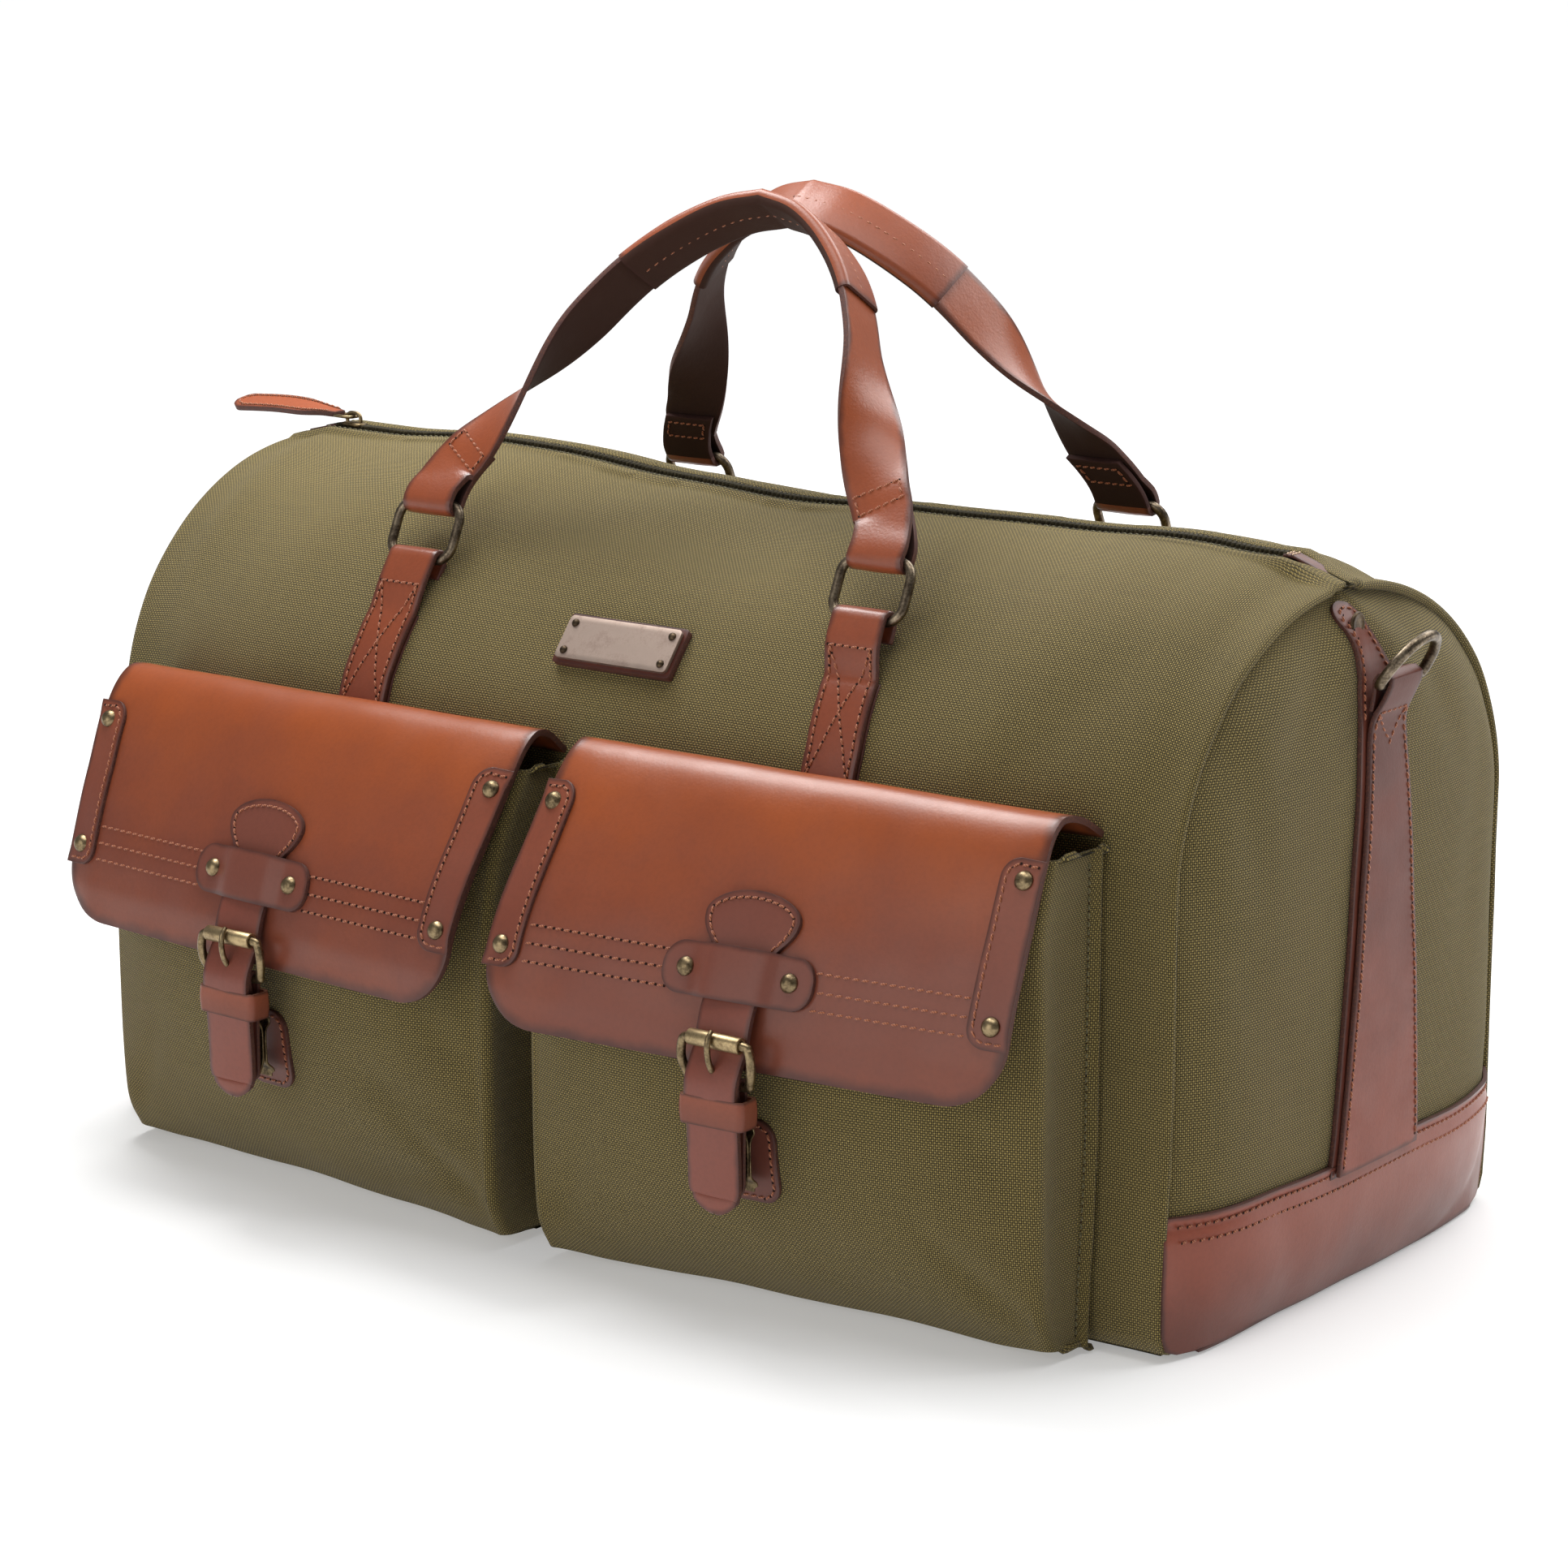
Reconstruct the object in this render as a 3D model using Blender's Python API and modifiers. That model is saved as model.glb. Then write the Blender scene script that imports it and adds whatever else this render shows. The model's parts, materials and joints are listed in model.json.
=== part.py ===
"""A waxed-canvas weekender bag with leather trim, two buckled front pockets and two carrying handles.

Frame: +X points to the bag's right end, -Y to its pocketed front and +Z up. The origin is the centre of
the flat bottom. Everything is in metres.
"""

import math

import bmesh
import bpy
from mathutils import Vector

MM = 0.001
GAP = 0.3 * MM

# Main compartment: upright walls, then a half-elliptical roof up to the zip.
HALF_LENGTH = 300 * MM
HALF_DEPTH = 142 * MM
SPRING_Z = 190 * MM
ZIP_LEFT = Vector((-270 * MM, 0, 320 * MM))
ZIP_RIGHT = Vector((270 * MM, 0, 311 * MM))
LEFT_END_TOP = 313 * MM
RIGHT_END_TOP = 300 * MM
ZIP_GAP = 12 * MM
CANVAS = 2.4 * MM
END_BULGE = 12 * MM
END_WAIST_Z = 120 * MM

# Leather.
STRAP = 2.2 * MM
THICK_LEATHER = 2.8 * MM
THIN_LEATHER = 1.6 * MM
BAND_LEATHER = 1.9 * MM
BASE_HEIGHT = 60 * MM

# Pockets and flaps.
POCKET_X = 136 * MM
POCKET_HALF = 124.5 * MM
POCKET_BOTTOM = 3 * MM
POCKET_TOP = 211 * MM
FLAP_HALF = 125 * MM
FLAP_CORNER = 27 * MM
FLAP_SEAM = (-142.4 * MM, 219.5 * MM)
FLAP_HINGE = (-158 * MM, 225.5 * MM)
STRIP_WIDTH = 17 * MM
BAR_HALF = 36 * MM
BAR_WIDTH = 20 * MM
BILLET_WIDTH = 26 * MM

# Handles and their rings.
RING_X = 125 * MM
RING_WIRE = 2.1 * MM
RING_LOWER = (-107 * MM, 283.5 * MM)
RING_UPPER = (-96 * MM, 307.5 * MM)
RING_HALF_WIDTH = 17.9 * MM
RING_CORNER = 6 * MM
HANDLE_WIDTH = 28 * MM
HANDLE_APEX = (-15.5 * MM, 442 * MM)
ANCHOR_X = 130 * MM
ANCHOR_WIDTH = 27 * MM

# Shoulder strap rings on the ends.
D_RING_Y = 7 * MM
D_RING_Z = 264 * MM
D_RING_ANGLE = math.radians(57)

COLOURS = {
    "canvas": ((0.125, 0.110, 0.036, 1), 0.9, 0.0),
    "canvas_edge": ((0.095, 0.085, 0.030, 1), 0.9, 0.0),
    "tan_leather": ((0.300, 0.085, 0.030, 1), 0.45, 0.0),
    "dark_leather": ((0.110, 0.035, 0.022, 1), 0.5, 0.0),
    "red_leather": ((0.190, 0.060, 0.038, 1), 0.45, 0.0),
    "brass": ((0.300, 0.220, 0.110, 1), 0.35, 1.0),
    "board": ((0.050, 0.045, 0.040, 1), 0.8, 0.0),
}


# Scene and material helpers.


def clear_scene():
    for thing in list(bpy.data.objects):
        bpy.data.objects.remove(thing, do_unlink=True)


def make_collection(name):
    collection = bpy.data.collections.new(name)
    bpy.context.scene.collection.children.link(collection)
    return collection


clear_scene()
BAG = make_collection("duffel_bag")
CUTTERS = make_collection("cutters")


def finish_material(finish):
    """The Principled material of one finish, made once."""
    material = bpy.data.materials.get(finish)
    if material is None:
        colour, roughness, metallic = COLOURS[finish]
        material = bpy.data.materials.new(finish)
        material.use_nodes = True
        shader = material.node_tree.nodes["Principled BSDF"]
        shader.inputs["Base Color"].default_value = colour
        shader.inputs["Roughness"].default_value = roughness
        shader.inputs["Metallic"].default_value = metallic
    return material


def add_object(name, data, finish, collection=None):
    thing = bpy.data.objects.new(name, data)
    (collection or BAG).objects.link(thing)
    data.materials.append(finish_material(finish))
    return thing


def patch(name, point, us, vs, thickness, finish, facing, wrap=False, offset=-1.0):
    """A sheet over the grid point(u, v), given thickness behind the side that faces `facing`."""
    mesh = bpy.data.meshes.new(name)
    shape = bmesh.new()
    grid = [[shape.verts.new(point(u, v)) for u in us] for v in vs]
    columns = len(us) if wrap else len(us) - 1
    for low, high in zip(grid, grid[1:]):
        for k in range(columns):
            after = (k + 1) % len(us)
            shape.faces.new((low[k], low[after], high[after], high[k]))
    shape.normal_update()
    middle = shape.faces[:][len(shape.faces) // 2]
    if middle.normal.dot(Vector(facing)) < 0:
        bmesh.ops.reverse_faces(shape, faces=shape.faces[:])
    shape.to_mesh(mesh)
    shape.free()
    thing = add_object(name, mesh, finish)
    shell = thing.modifiers.new("thickness", "SOLIDIFY")
    shell.thickness = thickness
    shell.offset = offset
    return thing


def spread(low, high, count):
    """Evenly spaced values from low to high, both included."""
    return [low + (high - low) * k / (count - 1) for k in range(count)]


def between(table, at):
    """Straight-line reading of a table of (position, value) pairs."""
    if at <= table[0][0]:
        return table[0][1]
    for (a, low), (b, high) in zip(table, table[1:]):
        if at <= b:
            return low + (high - low) * (at - a) / (b - a)
    return table[-1][1]


def smooth(points, steps):
    """A Catmull-Rom curve through the points, with this many steps between each pair."""
    points = [Vector(p) for p in points]
    padded = [2 * points[0] - points[1]] + points + [2 * points[-1] - points[-2]]
    curve = []
    for a, b, c, d in zip(padded, padded[1:], padded[2:], padded[3:]):
        for k in range(steps):
            t = k / steps
            linear = (c - a) * t
            square = (2 * a - 5 * b + 4 * c - d) * t**2
            cubic = (3 * b - a - 3 * c + d) * t**3
            curve.append(b + 0.5 * (linear + square + cubic))
    return curve + [points[-1]]


def arc(centre, radius, start, end, count):
    """Points of an arc in a plane, its angles in degrees."""
    return [
        (centre[0] + radius * math.cos(math.radians(a)), centre[1] + radius * math.sin(math.radians(a)))
        for a in spread(start, end, count)
    ]


def wire(name, points, radius, finish, cyclic=False):
    """A round wire through the points."""
    curve = bpy.data.curves.new(name, "CURVE")
    curve.dimensions = "3D"
    curve.bevel_depth = radius
    curve.bevel_resolution = 2
    curve.use_fill_caps = True
    spline = curve.splines.new("POLY")
    spline.points.add(len(points) - 1)
    for knot, place in zip(spline.points, points):
        knot.co = (*place, 1)
    spline.use_cyclic_u = cyclic
    return add_object(name, curve, finish)


def plate(name, outlines, thickness, finish):
    """A flat plate with holes: the first outline is its edge, and the others are its holes."""
    curve = bpy.data.curves.new(name, "CURVE")
    curve.dimensions = "2D"
    curve.fill_mode = "BOTH"
    curve.extrude = thickness / 2
    for outline in outlines:
        spline = curve.splines.new("POLY")
        spline.points.add(len(outline) - 1)
        for knot, place in zip(spline.points, outline):
            knot.co = (*place, 0, 1)
        spline.use_cyclic_u = True
    return add_object(name, curve, finish)


def rounded_rectangle(half_width, half_height, radius, count=3):
    """The outline of a rounded rectangle about the origin."""
    outline = []
    for right, up, start in ((1, 1, 0), (-1, 1, 90), (-1, -1, 180), (1, -1, 270)):
        centre = (right * (half_width - radius), up * (half_height - radius))
        outline += arc(centre, radius, start, start + 90, count)
    return outline


def box_cutter(name, size, centre):
    """A box that is taken out of other objects."""
    bpy.ops.mesh.primitive_cube_add(size=1, location=centre)
    cutter = bpy.context.object
    cutter.name = name
    cutter.scale = size
    bpy.ops.object.transform_apply(location=False, rotation=False, scale=True)
    for collection in list(cutter.users_collection):
        collection.objects.unlink(cutter)
    CUTTERS.objects.link(cutter)
    cutter.hide_render = True
    cutter.display_type = "WIRE"
    return cutter


def cut(thing, cutter):
    boolean = thing.modifiers.new("cut", "BOOLEAN")
    boolean.object = cutter
    boolean.operation = "DIFFERENCE"


# The main compartment's surface.


def roof_z(x):
    """Height of the zip line above the ground at x."""
    ends = [
        (-HALF_LENGTH, LEFT_END_TOP),
        (ZIP_LEFT.x, ZIP_LEFT.z),
        (ZIP_RIGHT.x, ZIP_RIGHT.z),
        (HALF_LENGTH, RIGHT_END_TOP),
    ]
    return between(ends, x)


WALL_LOW = [
    (134 * MM, 0.0),
    (139 * MM, 3 * MM),
    (141 * MM, 10 * MM),
    (HALF_DEPTH, 60 * MM),
    (HALF_DEPTH, 125 * MM),
]


def wall_profile(x):
    """Points (depth, height) of one wall from the bottom seam up to the zip tape."""
    rise = roof_z(x) - SPRING_Z
    last = math.degrees(math.acos(ZIP_GAP / HALF_DEPTH))
    roof = [
        (HALF_DEPTH * math.cos(math.radians(a)), SPRING_Z + rise * math.sin(math.radians(a)))
        for a in spread(0, last, 10)
    ]
    return WALL_LOW + roof


def wall_depth(z, x=0.0):
    """Half depth of the compartment at height z."""
    if z <= SPRING_Z:
        return between([(h, d) for d, h in WALL_LOW] + [(SPRING_Z, HALF_DEPTH)], z)
    rise = (z - SPRING_Z) / (roof_z(x) - SPRING_Z)
    return HALF_DEPTH * math.sqrt(max(0.0, 1 - rise * rise))


def front_point(x, z, offset):
    """A point on the front wall at height z, moved out along the wall's normal."""
    step = 0.5 * MM
    depth = wall_depth(z, x)
    slope = (wall_depth(z + step, x) - wall_depth(z - step, x)) / (2 * step)
    normal = Vector((0, -1, -slope)).normalized()
    return Vector((x, -depth, z)) + offset * normal


def end_x(y, z, top):
    """How far out the padded-out end panel lies at (y, z)."""
    if z > SPRING_Z:
        across = math.hypot(y / HALF_DEPTH, (z - SPRING_Z) / (top - SPRING_Z))
        down = 0.0
    else:
        across = abs(y) / HALF_DEPTH
        down = max(0.0, (END_WAIST_Z - z) / END_WAIST_Z)
    edge = min(1.0, across**4 + down**4)
    return HALF_LENGTH + END_BULGE * (1 - edge)


def wall_panel(name, side):
    reach = HALF_LENGTH - CANVAS - GAP
    profiles = {x: wall_profile(x) for x in spread(-reach, reach, 9)}

    def point(x, row):
        depth, height = profiles[x][row]
        return (x, side * depth, height)

    return patch(name, point, list(profiles), range(len(WALL_LOW) + 10), CANVAS, "canvas", (0, side, 0.2))


def bottom_panel():
    half_x = HALF_LENGTH - CANVAS - GAP
    half_y = WALL_LOW[0][0] - CANVAS - GAP
    outline = rounded_rectangle(half_x, half_y, 2 * MM)
    panel = plate("bottom_panel", [outline], CANVAS, "canvas_edge")
    panel.location.z = CANVAS / 2
    return panel


def base_board():
    outline = rounded_rectangle(HALF_LENGTH - 12 * MM, WALL_LOW[0][0] - 8 * MM, 20 * MM, 5)
    board = plate("base_board", [outline], 3 * MM, "board")
    board.location.z = CANVAS + 2 * GAP + 1.5 * MM
    return board


def end_panel(name, side, top):
    heights = spread(0, BASE_HEIGHT, 4) + spread(90 * MM, SPRING_Z, 4)
    heights += [SPRING_Z + part * (top - SPRING_Z) for part in (0.22, 0.45, 0.65, 0.82, 0.93, 0.985)]

    def point(u, z):
        if z > SPRING_Z:
            half = HALF_DEPTH * math.sqrt(max(0.0, 1 - ((z - SPRING_Z) / (top - SPRING_Z)) ** 2))
        else:
            half = wall_depth(z)
        return (side * end_x(u * half, z, top), u * half, z)

    return patch(name, point, spread(-1, 1, 11), heights, CANVAS, "canvas", (side, 0, 0))


def end_base(name, side, top):
    def point(u, z):
        y = u * (wall_depth(z) - 1 * MM)
        return (side * (end_x(y, z, top) + 2.9 * MM), y, z)

    return patch(
        name, point, spread(-1, 1, 11), spread(0, BASE_HEIGHT, 4), BAND_LEATHER, "red_leather", (side, 0, 0)
    )


# Zip.


def zip_tape(name, side):
    """One tape with its row of teeth as a raised bead along the middle edge."""
    section = [
        (0.15, -2.4), (0.15, 1.0), (2.6, 1.0), (2.6, -0.6), (11.1, -2.0), (11.1, -3.2), (2.6, -2.4),
    ]

    def point(k, x):
        across, up = section[k]
        return (x, side * across * MM, roof_z(x) + up * MM)

    ends = (-282 * MM, 268 * MM)
    stations = [ends[0], ZIP_LEFT.x, 0.0, ends[1]]
    mesh = bpy.data.meshes.new(name)
    shape = bmesh.new()
    rings = [[shape.verts.new(point(k, x)) for k in range(len(section))] for x in stations]
    for low, high in zip(rings, rings[1:]):
        for k in range(len(section)):
            after = (k + 1) % len(section)
            shape.faces.new((low[k], low[after], high[after], high[k]))
    shape.faces.new(rings[0])
    shape.faces.new(rings[-1])
    bmesh.ops.recalc_face_normals(shape, faces=shape.faces[:])
    shape.to_mesh(mesh)
    shape.free()
    return add_object(name, mesh, "canvas_edge")


def zip_end_tab():
    def point(y, x):
        return (x, y, roof_z(x) + 0.8 * MM)

    stations = spread(269 * MM, 292 * MM, 4)
    return patch("zip_end_tab", point, (-5 * MM, 5 * MM), stations, THIN_LEATHER, "tan_leather", (0, 0, 1))


ZIP_AXIS = (ZIP_RIGHT - ZIP_LEFT).normalized()
SLIDER_X = -262 * MM
SLIDER_LENGTH = 13 * MM
SLIDER_BASE = 1.4 * MM
BRIDGE_HEIGHT = 6.4 * MM


def slider_frame(thing, up):
    """Sets a piece on the zip line at the slider, with its own X along the zip."""
    tilt = math.atan2(ZIP_AXIS.z, ZIP_AXIS.x)
    thing.location = (SLIDER_X, 0, roof_z(SLIDER_X) + up)
    return -tilt


def zip_slider():
    """Seen from the side: a foot with an arched bridge, whose window takes the puller."""
    half = SLIDER_LENGTH / 2
    top = BRIDGE_HEIGHT
    outline = [(-half, 0), (half, 0), (half, SLIDER_BASE), (4 * MM, SLIDER_BASE)]
    outline += arc((2.2 * MM, top - 1.8 * MM), 1.8 * MM, 0, 90, 3)
    outline += arc((-2.2 * MM, top - 1.8 * MM), 1.8 * MM, 90, 180, 3)
    outline += [(-4 * MM, SLIDER_BASE), (-half, SLIDER_BASE)]
    window = [(-2.6 * MM, SLIDER_BASE + 0.6 * MM), (2.6 * MM, SLIDER_BASE + 0.6 * MM)]
    window += [(2.6 * MM, top - 1.3 * MM), (-2.6 * MM, top - 1.3 * MM)]
    slider = plate("zip_slider", [outline, window], 6 * MM, "brass")
    tilt = slider_frame(slider, 1.0 * MM + GAP)
    slider.rotation_euler = (math.radians(90), tilt, 0)
    return slider


def zip_puller():
    """A leather puller whose narrow eye goes through the slider's window."""
    eye = 5.2 * MM
    outline = [(1 * MM, -eye), (1 * MM, eye), (-12 * MM, eye), (-18 * MM, 6.4 * MM), (-70 * MM, 6.8 * MM)]
    outline += arc((-72 * MM, 0), 6.8 * MM, 90, 270, 7)
    outline += [(-70 * MM, -6.8 * MM), (-18 * MM, -6.4 * MM), (-12 * MM, -eye)]
    hole = [(-1 * MM, -3.5 * MM), (-1 * MM, 3.5 * MM), (-9.5 * MM, 3.5 * MM), (-9.5 * MM, -3.5 * MM)]
    puller = plate("zip_puller", [outline, hole], 1.8 * MM, "tan_leather")
    tilt = slider_frame(puller, 1.0 * MM + GAP + 3.55 * MM)
    puller.rotation_euler = (0, tilt, 0)
    return puller


# Front pockets.

POCKET_MIDDLE = [
    (3, 24), (16, 36), (35, 47), (60, 56), (100, 61), (140, 56), (170, 45), (195, 31), (211, 19),
]
POCKET_EDGE = [(3, 33), (16, 39), (35, 40), (170, 40), (195, 33), (211, 26)]


def pocket_depth(u, z):
    """How far the pocket stands off the wall at height z, with u from -1 to 1 across its width."""
    middle = between(POCKET_MIDDLE, z / MM)
    edge = between(POCKET_EDGE, z / MM)
    return (edge + (middle - edge) * (1 - abs(u) ** 3)) * MM


def pocket_front(x, z, side, offset=0.0):
    """A point on the pocket's front face, moved forward by offset."""
    u = (x - side * POCKET_X) / POCKET_HALF
    return Vector((x, -HALF_DEPTH - GAP - pocket_depth(u, z) - offset, z))


def pocket(name, side):
    """A bag sewn on three edges: front, sides and bottom, open at its mouth and at the wall."""
    mesh = bpy.data.meshes.new(name)
    shape = bmesh.new()
    bmesh.ops.create_cube(shape, size=2)
    bmesh.ops.subdivide_edges(shape, edges=shape.edges[:], cuts=6, use_grid_fill=True)
    open_sides = [f for f in shape.faces if f.normal.y > 0.5 or f.normal.z > 0.5]
    bmesh.ops.delete(shape, geom=open_sides, context="FACES")
    for corner in shape.verts:
        u, v, w = corner.co
        z = POCKET_BOTTOM + (POCKET_TOP - POCKET_BOTTOM) * (w + 1) / 2
        wall = HALF_DEPTH + GAP
        front = HALF_DEPTH + GAP + pocket_depth(u, z)
        y = -(front + (wall - front) * (v + 1) / 2)
        corner.co = (side * POCKET_X + u * POCKET_HALF, y, z)
    shape.to_mesh(mesh)
    shape.free()
    thing = add_object(name, mesh, "canvas")
    shell = thing.modifiers.new("thickness", "SOLIDIFY")
    shell.thickness = CANVAS
    shell.offset = -1
    return thing


# Flaps. The profile runs from the hinge line at the crest to the lower edge, as (depth, height).

FLAP_PROFILE = [
    (-158.5, 226.8), (-166, 222.5), (-173, 215), (-180, 204), (-190, 186), (-200, 168), (-208, 150),
    (-213, 132), (-215, 121), (-216, 115), (-216.4, 112),
]


def flap_point(along, out=0.0):
    """A point (depth, height) on the flap's outside, `along` counting the profile's points."""
    last = len(FLAP_PROFILE) - 2
    k = min(max(int(along), 0), last)
    a, b = Vector(FLAP_PROFILE[k]), Vector(FLAP_PROFILE[k + 1])
    run = b - a
    normal = Vector((run.y, -run.x)).normalized()
    place = a + run * (along - k) + normal * (out / MM)
    return place.x * MM, place.y * MM


def flap_along(z):
    """Where along the profile the flap reaches height z."""
    for k, ((_, high), (_, low)) in enumerate(zip(FLAP_PROFILE, FLAP_PROFILE[1:])):
        if low <= z / MM:
            return k + (high - z / MM) / (high - low)
    return len(FLAP_PROFILE) - 1.0


def flap_half_width(z):
    """The flap narrows over its rounded lower corners."""
    left = z - FLAP_PROFILE[-1][1] * MM
    if left >= FLAP_CORNER:
        return FLAP_HALF
    return FLAP_HALF - FLAP_CORNER + math.sqrt(max(0.0, FLAP_CORNER**2 - (FLAP_CORNER - left) ** 2))


def flap(name, side):
    def point(u, along):
        depth, height = flap_point(along)
        return (side * POCKET_X + u * flap_half_width(height), depth, height)

    rows = list(range(8)) + [7.5, 8, 8.5, 9, 9.5, 10]
    return patch(name, point, spread(-1, 1, 5), rows, THICK_LEATHER, "tan_leather", (0, -1, 0.3))


def flap_root(name, side):
    """The part of the flap that is sewn to the wall and rolls up to the crest."""
    outline = [FLAP_SEAM, (-147 * MM, 224.2 * MM), (-152.5 * MM, 226.8 * MM), (-156.2 * MM, 227.3 * MM)]

    def point(u, row):
        depth, height = outline[row]
        return (side * POCKET_X + u * FLAP_HALF, depth, height)

    return patch(name, point, spread(-1, 1, 3), range(4), 2.2 * MM, "tan_leather", (0, -0.3, 1))


def flap_strip(name, side, edge):
    """A reinforcing strip along a side edge of the flap, with its inner corners rounded."""
    top, bottom = 212 * MM, 141 * MM
    corner = 7 * MM

    def inner(z):
        left = min(top - z, z - bottom)
        if left >= corner:
            return STRIP_WIDTH
        return STRIP_WIDTH - corner + math.sqrt(max(0.0, corner**2 - (corner - left) ** 2))

    def point(u, z):
        depth, height = flap_point(flap_along(z), GAP + THIN_LEATHER)
        x = side * POCKET_X + edge * (FLAP_HALF - 0.5 * MM - u * inner(z))
        return (x, depth, height)

    rows = [top, top - 2 * MM, top - corner, 186 * MM, 168 * MM, bottom + corner, bottom + 2 * MM, bottom]
    return patch(name, point, (0, 1), rows, THIN_LEATHER, "red_leather", (0, -1, 0.3))


BAR_Z = 155 * MM


def keeper_bar(name, side):
    """A riveted cross bar that arches over the buckle strap."""
    lift = [(-36, 0.4), (-32, 0.4), (-19, 0.4), (-14.5, 3.2), (14.5, 3.2), (19, 0.4), (32, 0.4), (36, 0.4)]
    ends = {-36: 4.5 * MM, 36: 4.5 * MM, -32: 8.6 * MM, 32: 8.6 * MM}
    low, high = flap_point(flap_along(BAR_Z - 8 * MM)), flap_point(flap_along(BAR_Z + 8 * MM))
    run = Vector((0, high[0] - low[0], high[1] - low[1])).normalized()
    out = Vector((0, -run.z, run.y))
    middle = Vector((side * POCKET_X, (low[0] + high[0]) / 2, (low[1] + high[1]) / 2))

    def point(k, v):
        across, up = lift[k]
        half = ends.get(across, BAR_WIDTH / 2)
        return middle + Vector((across * MM, 0, 0)) + run * (v * half) + out * (up * MM + 0.4 * MM + 2 * MM)

    return patch(name, point, range(len(lift)), (-1, 0, 1), 2 * MM, "dark_leather", (0, -1, 0.3))


# Buckles. The strap comes from under the bar, passes behind the roller, over the frame's lower bar and
# through the keeper loop. A tab round the lower bar carries the snap clip's hook.

ROLLER = (-223.2 * MM, 129 * MM)
PIVOT = (-220.4 * MM, 111 * MM)
FRAME_WIRE = 1.6 * MM
STRAP_LINE = [
    (-213.8, 144.8), (-216.0, 138), (-217.5, 131), (-219.0, 125), (-222.6, 119), (-225.9, 112),
    (-226.0, 104), (-224.6, 95), (-223.6, 80), (-223.2, 66), (-223.2, 60), (-223.2, 56), (-223.2, 53.4),
]
TIP_START = 66


def buckle_strap(name, side):
    def point(u, row):
        depth, height = STRAP_LINE[row]
        half = BILLET_WIDTH / 2
        if height < TIP_START:
            half *= math.sqrt(max(0.05, 1 - ((TIP_START - height) / 13) ** 2))
        return (side * POCKET_X + u * half, depth * MM, height * MM)

    strap = patch(
        name, point, (-1, 0, 1), range(len(STRAP_LINE)), STRAP, "dark_leather", (0, -1, 0), offset=0.0
    )
    slot = box_cutter(f"{name}_slot", (4 * MM, 12 * MM, 15 * MM), (side * POCKET_X, -223 * MM, 116.5 * MM))
    cut(strap, slot)
    return strap


def buckle_frame(name, side):
    lean = Vector((0, ROLLER[0] - PIVOT[0], ROLLER[1] - PIVOT[1]))
    middle = Vector((side * POCKET_X, (ROLLER[0] + PIVOT[0]) / 2, (ROLLER[1] + PIVOT[1]) / 2))
    outline = rounded_rectangle(16.4 * MM, lean.length / 2, 4.5 * MM, 4)
    up = lean.normalized()
    points = [middle + Vector((across, 0, 0)) + up * rise for across, rise in outline]
    return wire(name, points, FRAME_WIRE, "brass", cyclic=True)


def buckle_roller(name, side):
    """A turned sleeve on the frame's upper bar."""
    inner, outer, half = 1.9 * MM, 3.3 * MM, 11.2 * MM
    profile = [(half, outer), (-half, outer), (-half, inner), (half, inner)]
    mesh = bpy.data.meshes.new(name)
    mesh.from_pydata([(x, 0, r) for x, r in profile], [(0, 1), (1, 2), (2, 3), (3, 0)], [])
    sleeve = add_object(name, mesh, "brass")
    turn = sleeve.modifiers.new("turn", "SCREW")
    turn.axis = "X"
    turn.steps = turn.render_steps = 14
    turn.use_merge_vertices = True
    turn.merge_threshold = 0.00001
    sleeve.location = (side * POCKET_X, ROLLER[0], ROLLER[1])
    return sleeve


def prong(name, side):
    """A round pin from the lower bar, up through the strap's slot, with its tip on the roller."""
    path = [(-222.6, 113.6), (-224.6, 117.5), (-226.8, 121.5), (-228.2, 126), (-227.9, 131), (-226.4, 133.6)]
    points = [(side * POCKET_X, y * MM, z * MM) for y, z in path]
    return wire(name, points, 0.95 * MM, "brass")


def buckle_tab(name, side):
    """Leather folded round the lower bar, running down behind the strap."""
    turn = arc((PIVOT[0] / MM, PIVOT[1] / MM), 2.9, 0, 180, 7)
    line = [(-218.6, 64), (-218.6, 84), (-218.4, 97), (-217.8, 104)]
    line += turn + [(-222.5, 106.5), (-221.4, 101.5)]

    def point(u, row):
        depth, height = line[row]
        half = 12 * MM if row else 9 * MM
        return (side * POCKET_X + u * half, depth * MM, height * MM)

    tab = patch(name, point, (-1, 0, 1), range(len(line)), 1.5 * MM, "dark_leather", (0, 1, 0), offset=0.0)
    slot = box_cutter(f"{name}_slot", (4.6 * MM, 8 * MM, 8 * MM), (side * POCKET_X, -223.2 * MM, 112.5 * MM))
    cut(tab, slot)
    return tab


def keeper_loop(name, side):
    """A closed leather band round the strap and the tab."""
    outline = rounded_rectangle(16 * MM, 6.1 * MM, 2.4 * MM)

    def point(k, z):
        across, deep = outline[k]
        return (side * POCKET_X + across, -221.6 * MM + deep, z)

    heights = (96 * MM, 104 * MM)
    return patch(name, point, range(len(outline)), heights, 1.5 * MM, "tan_leather", (1, -1, 0), wrap=True)


def clip_patch(name, side):
    """A rounded leather patch on the pocket behind the buckle strap."""
    low, high, half, corner = 58 * MM, 96 * MM, 18 * MM, 9 * MM

    def half_width(z):
        left = min(z - low, high - z)
        if left >= corner:
            return half
        return half - corner + math.sqrt(max(0.0, corner**2 - (corner - left) ** 2))

    def point(u, z):
        x = side * POCKET_X + u * half_width(z)
        return pocket_front(x, z, side, 2.2 * MM)

    rows = [low, low + 2.5 * MM, low + corner, 77 * MM, high - corner, high - 2.5 * MM, high]
    return patch(name, point, (-1, 0, 1), rows, 1.5 * MM, "red_leather", (0, -1, 0))


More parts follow.
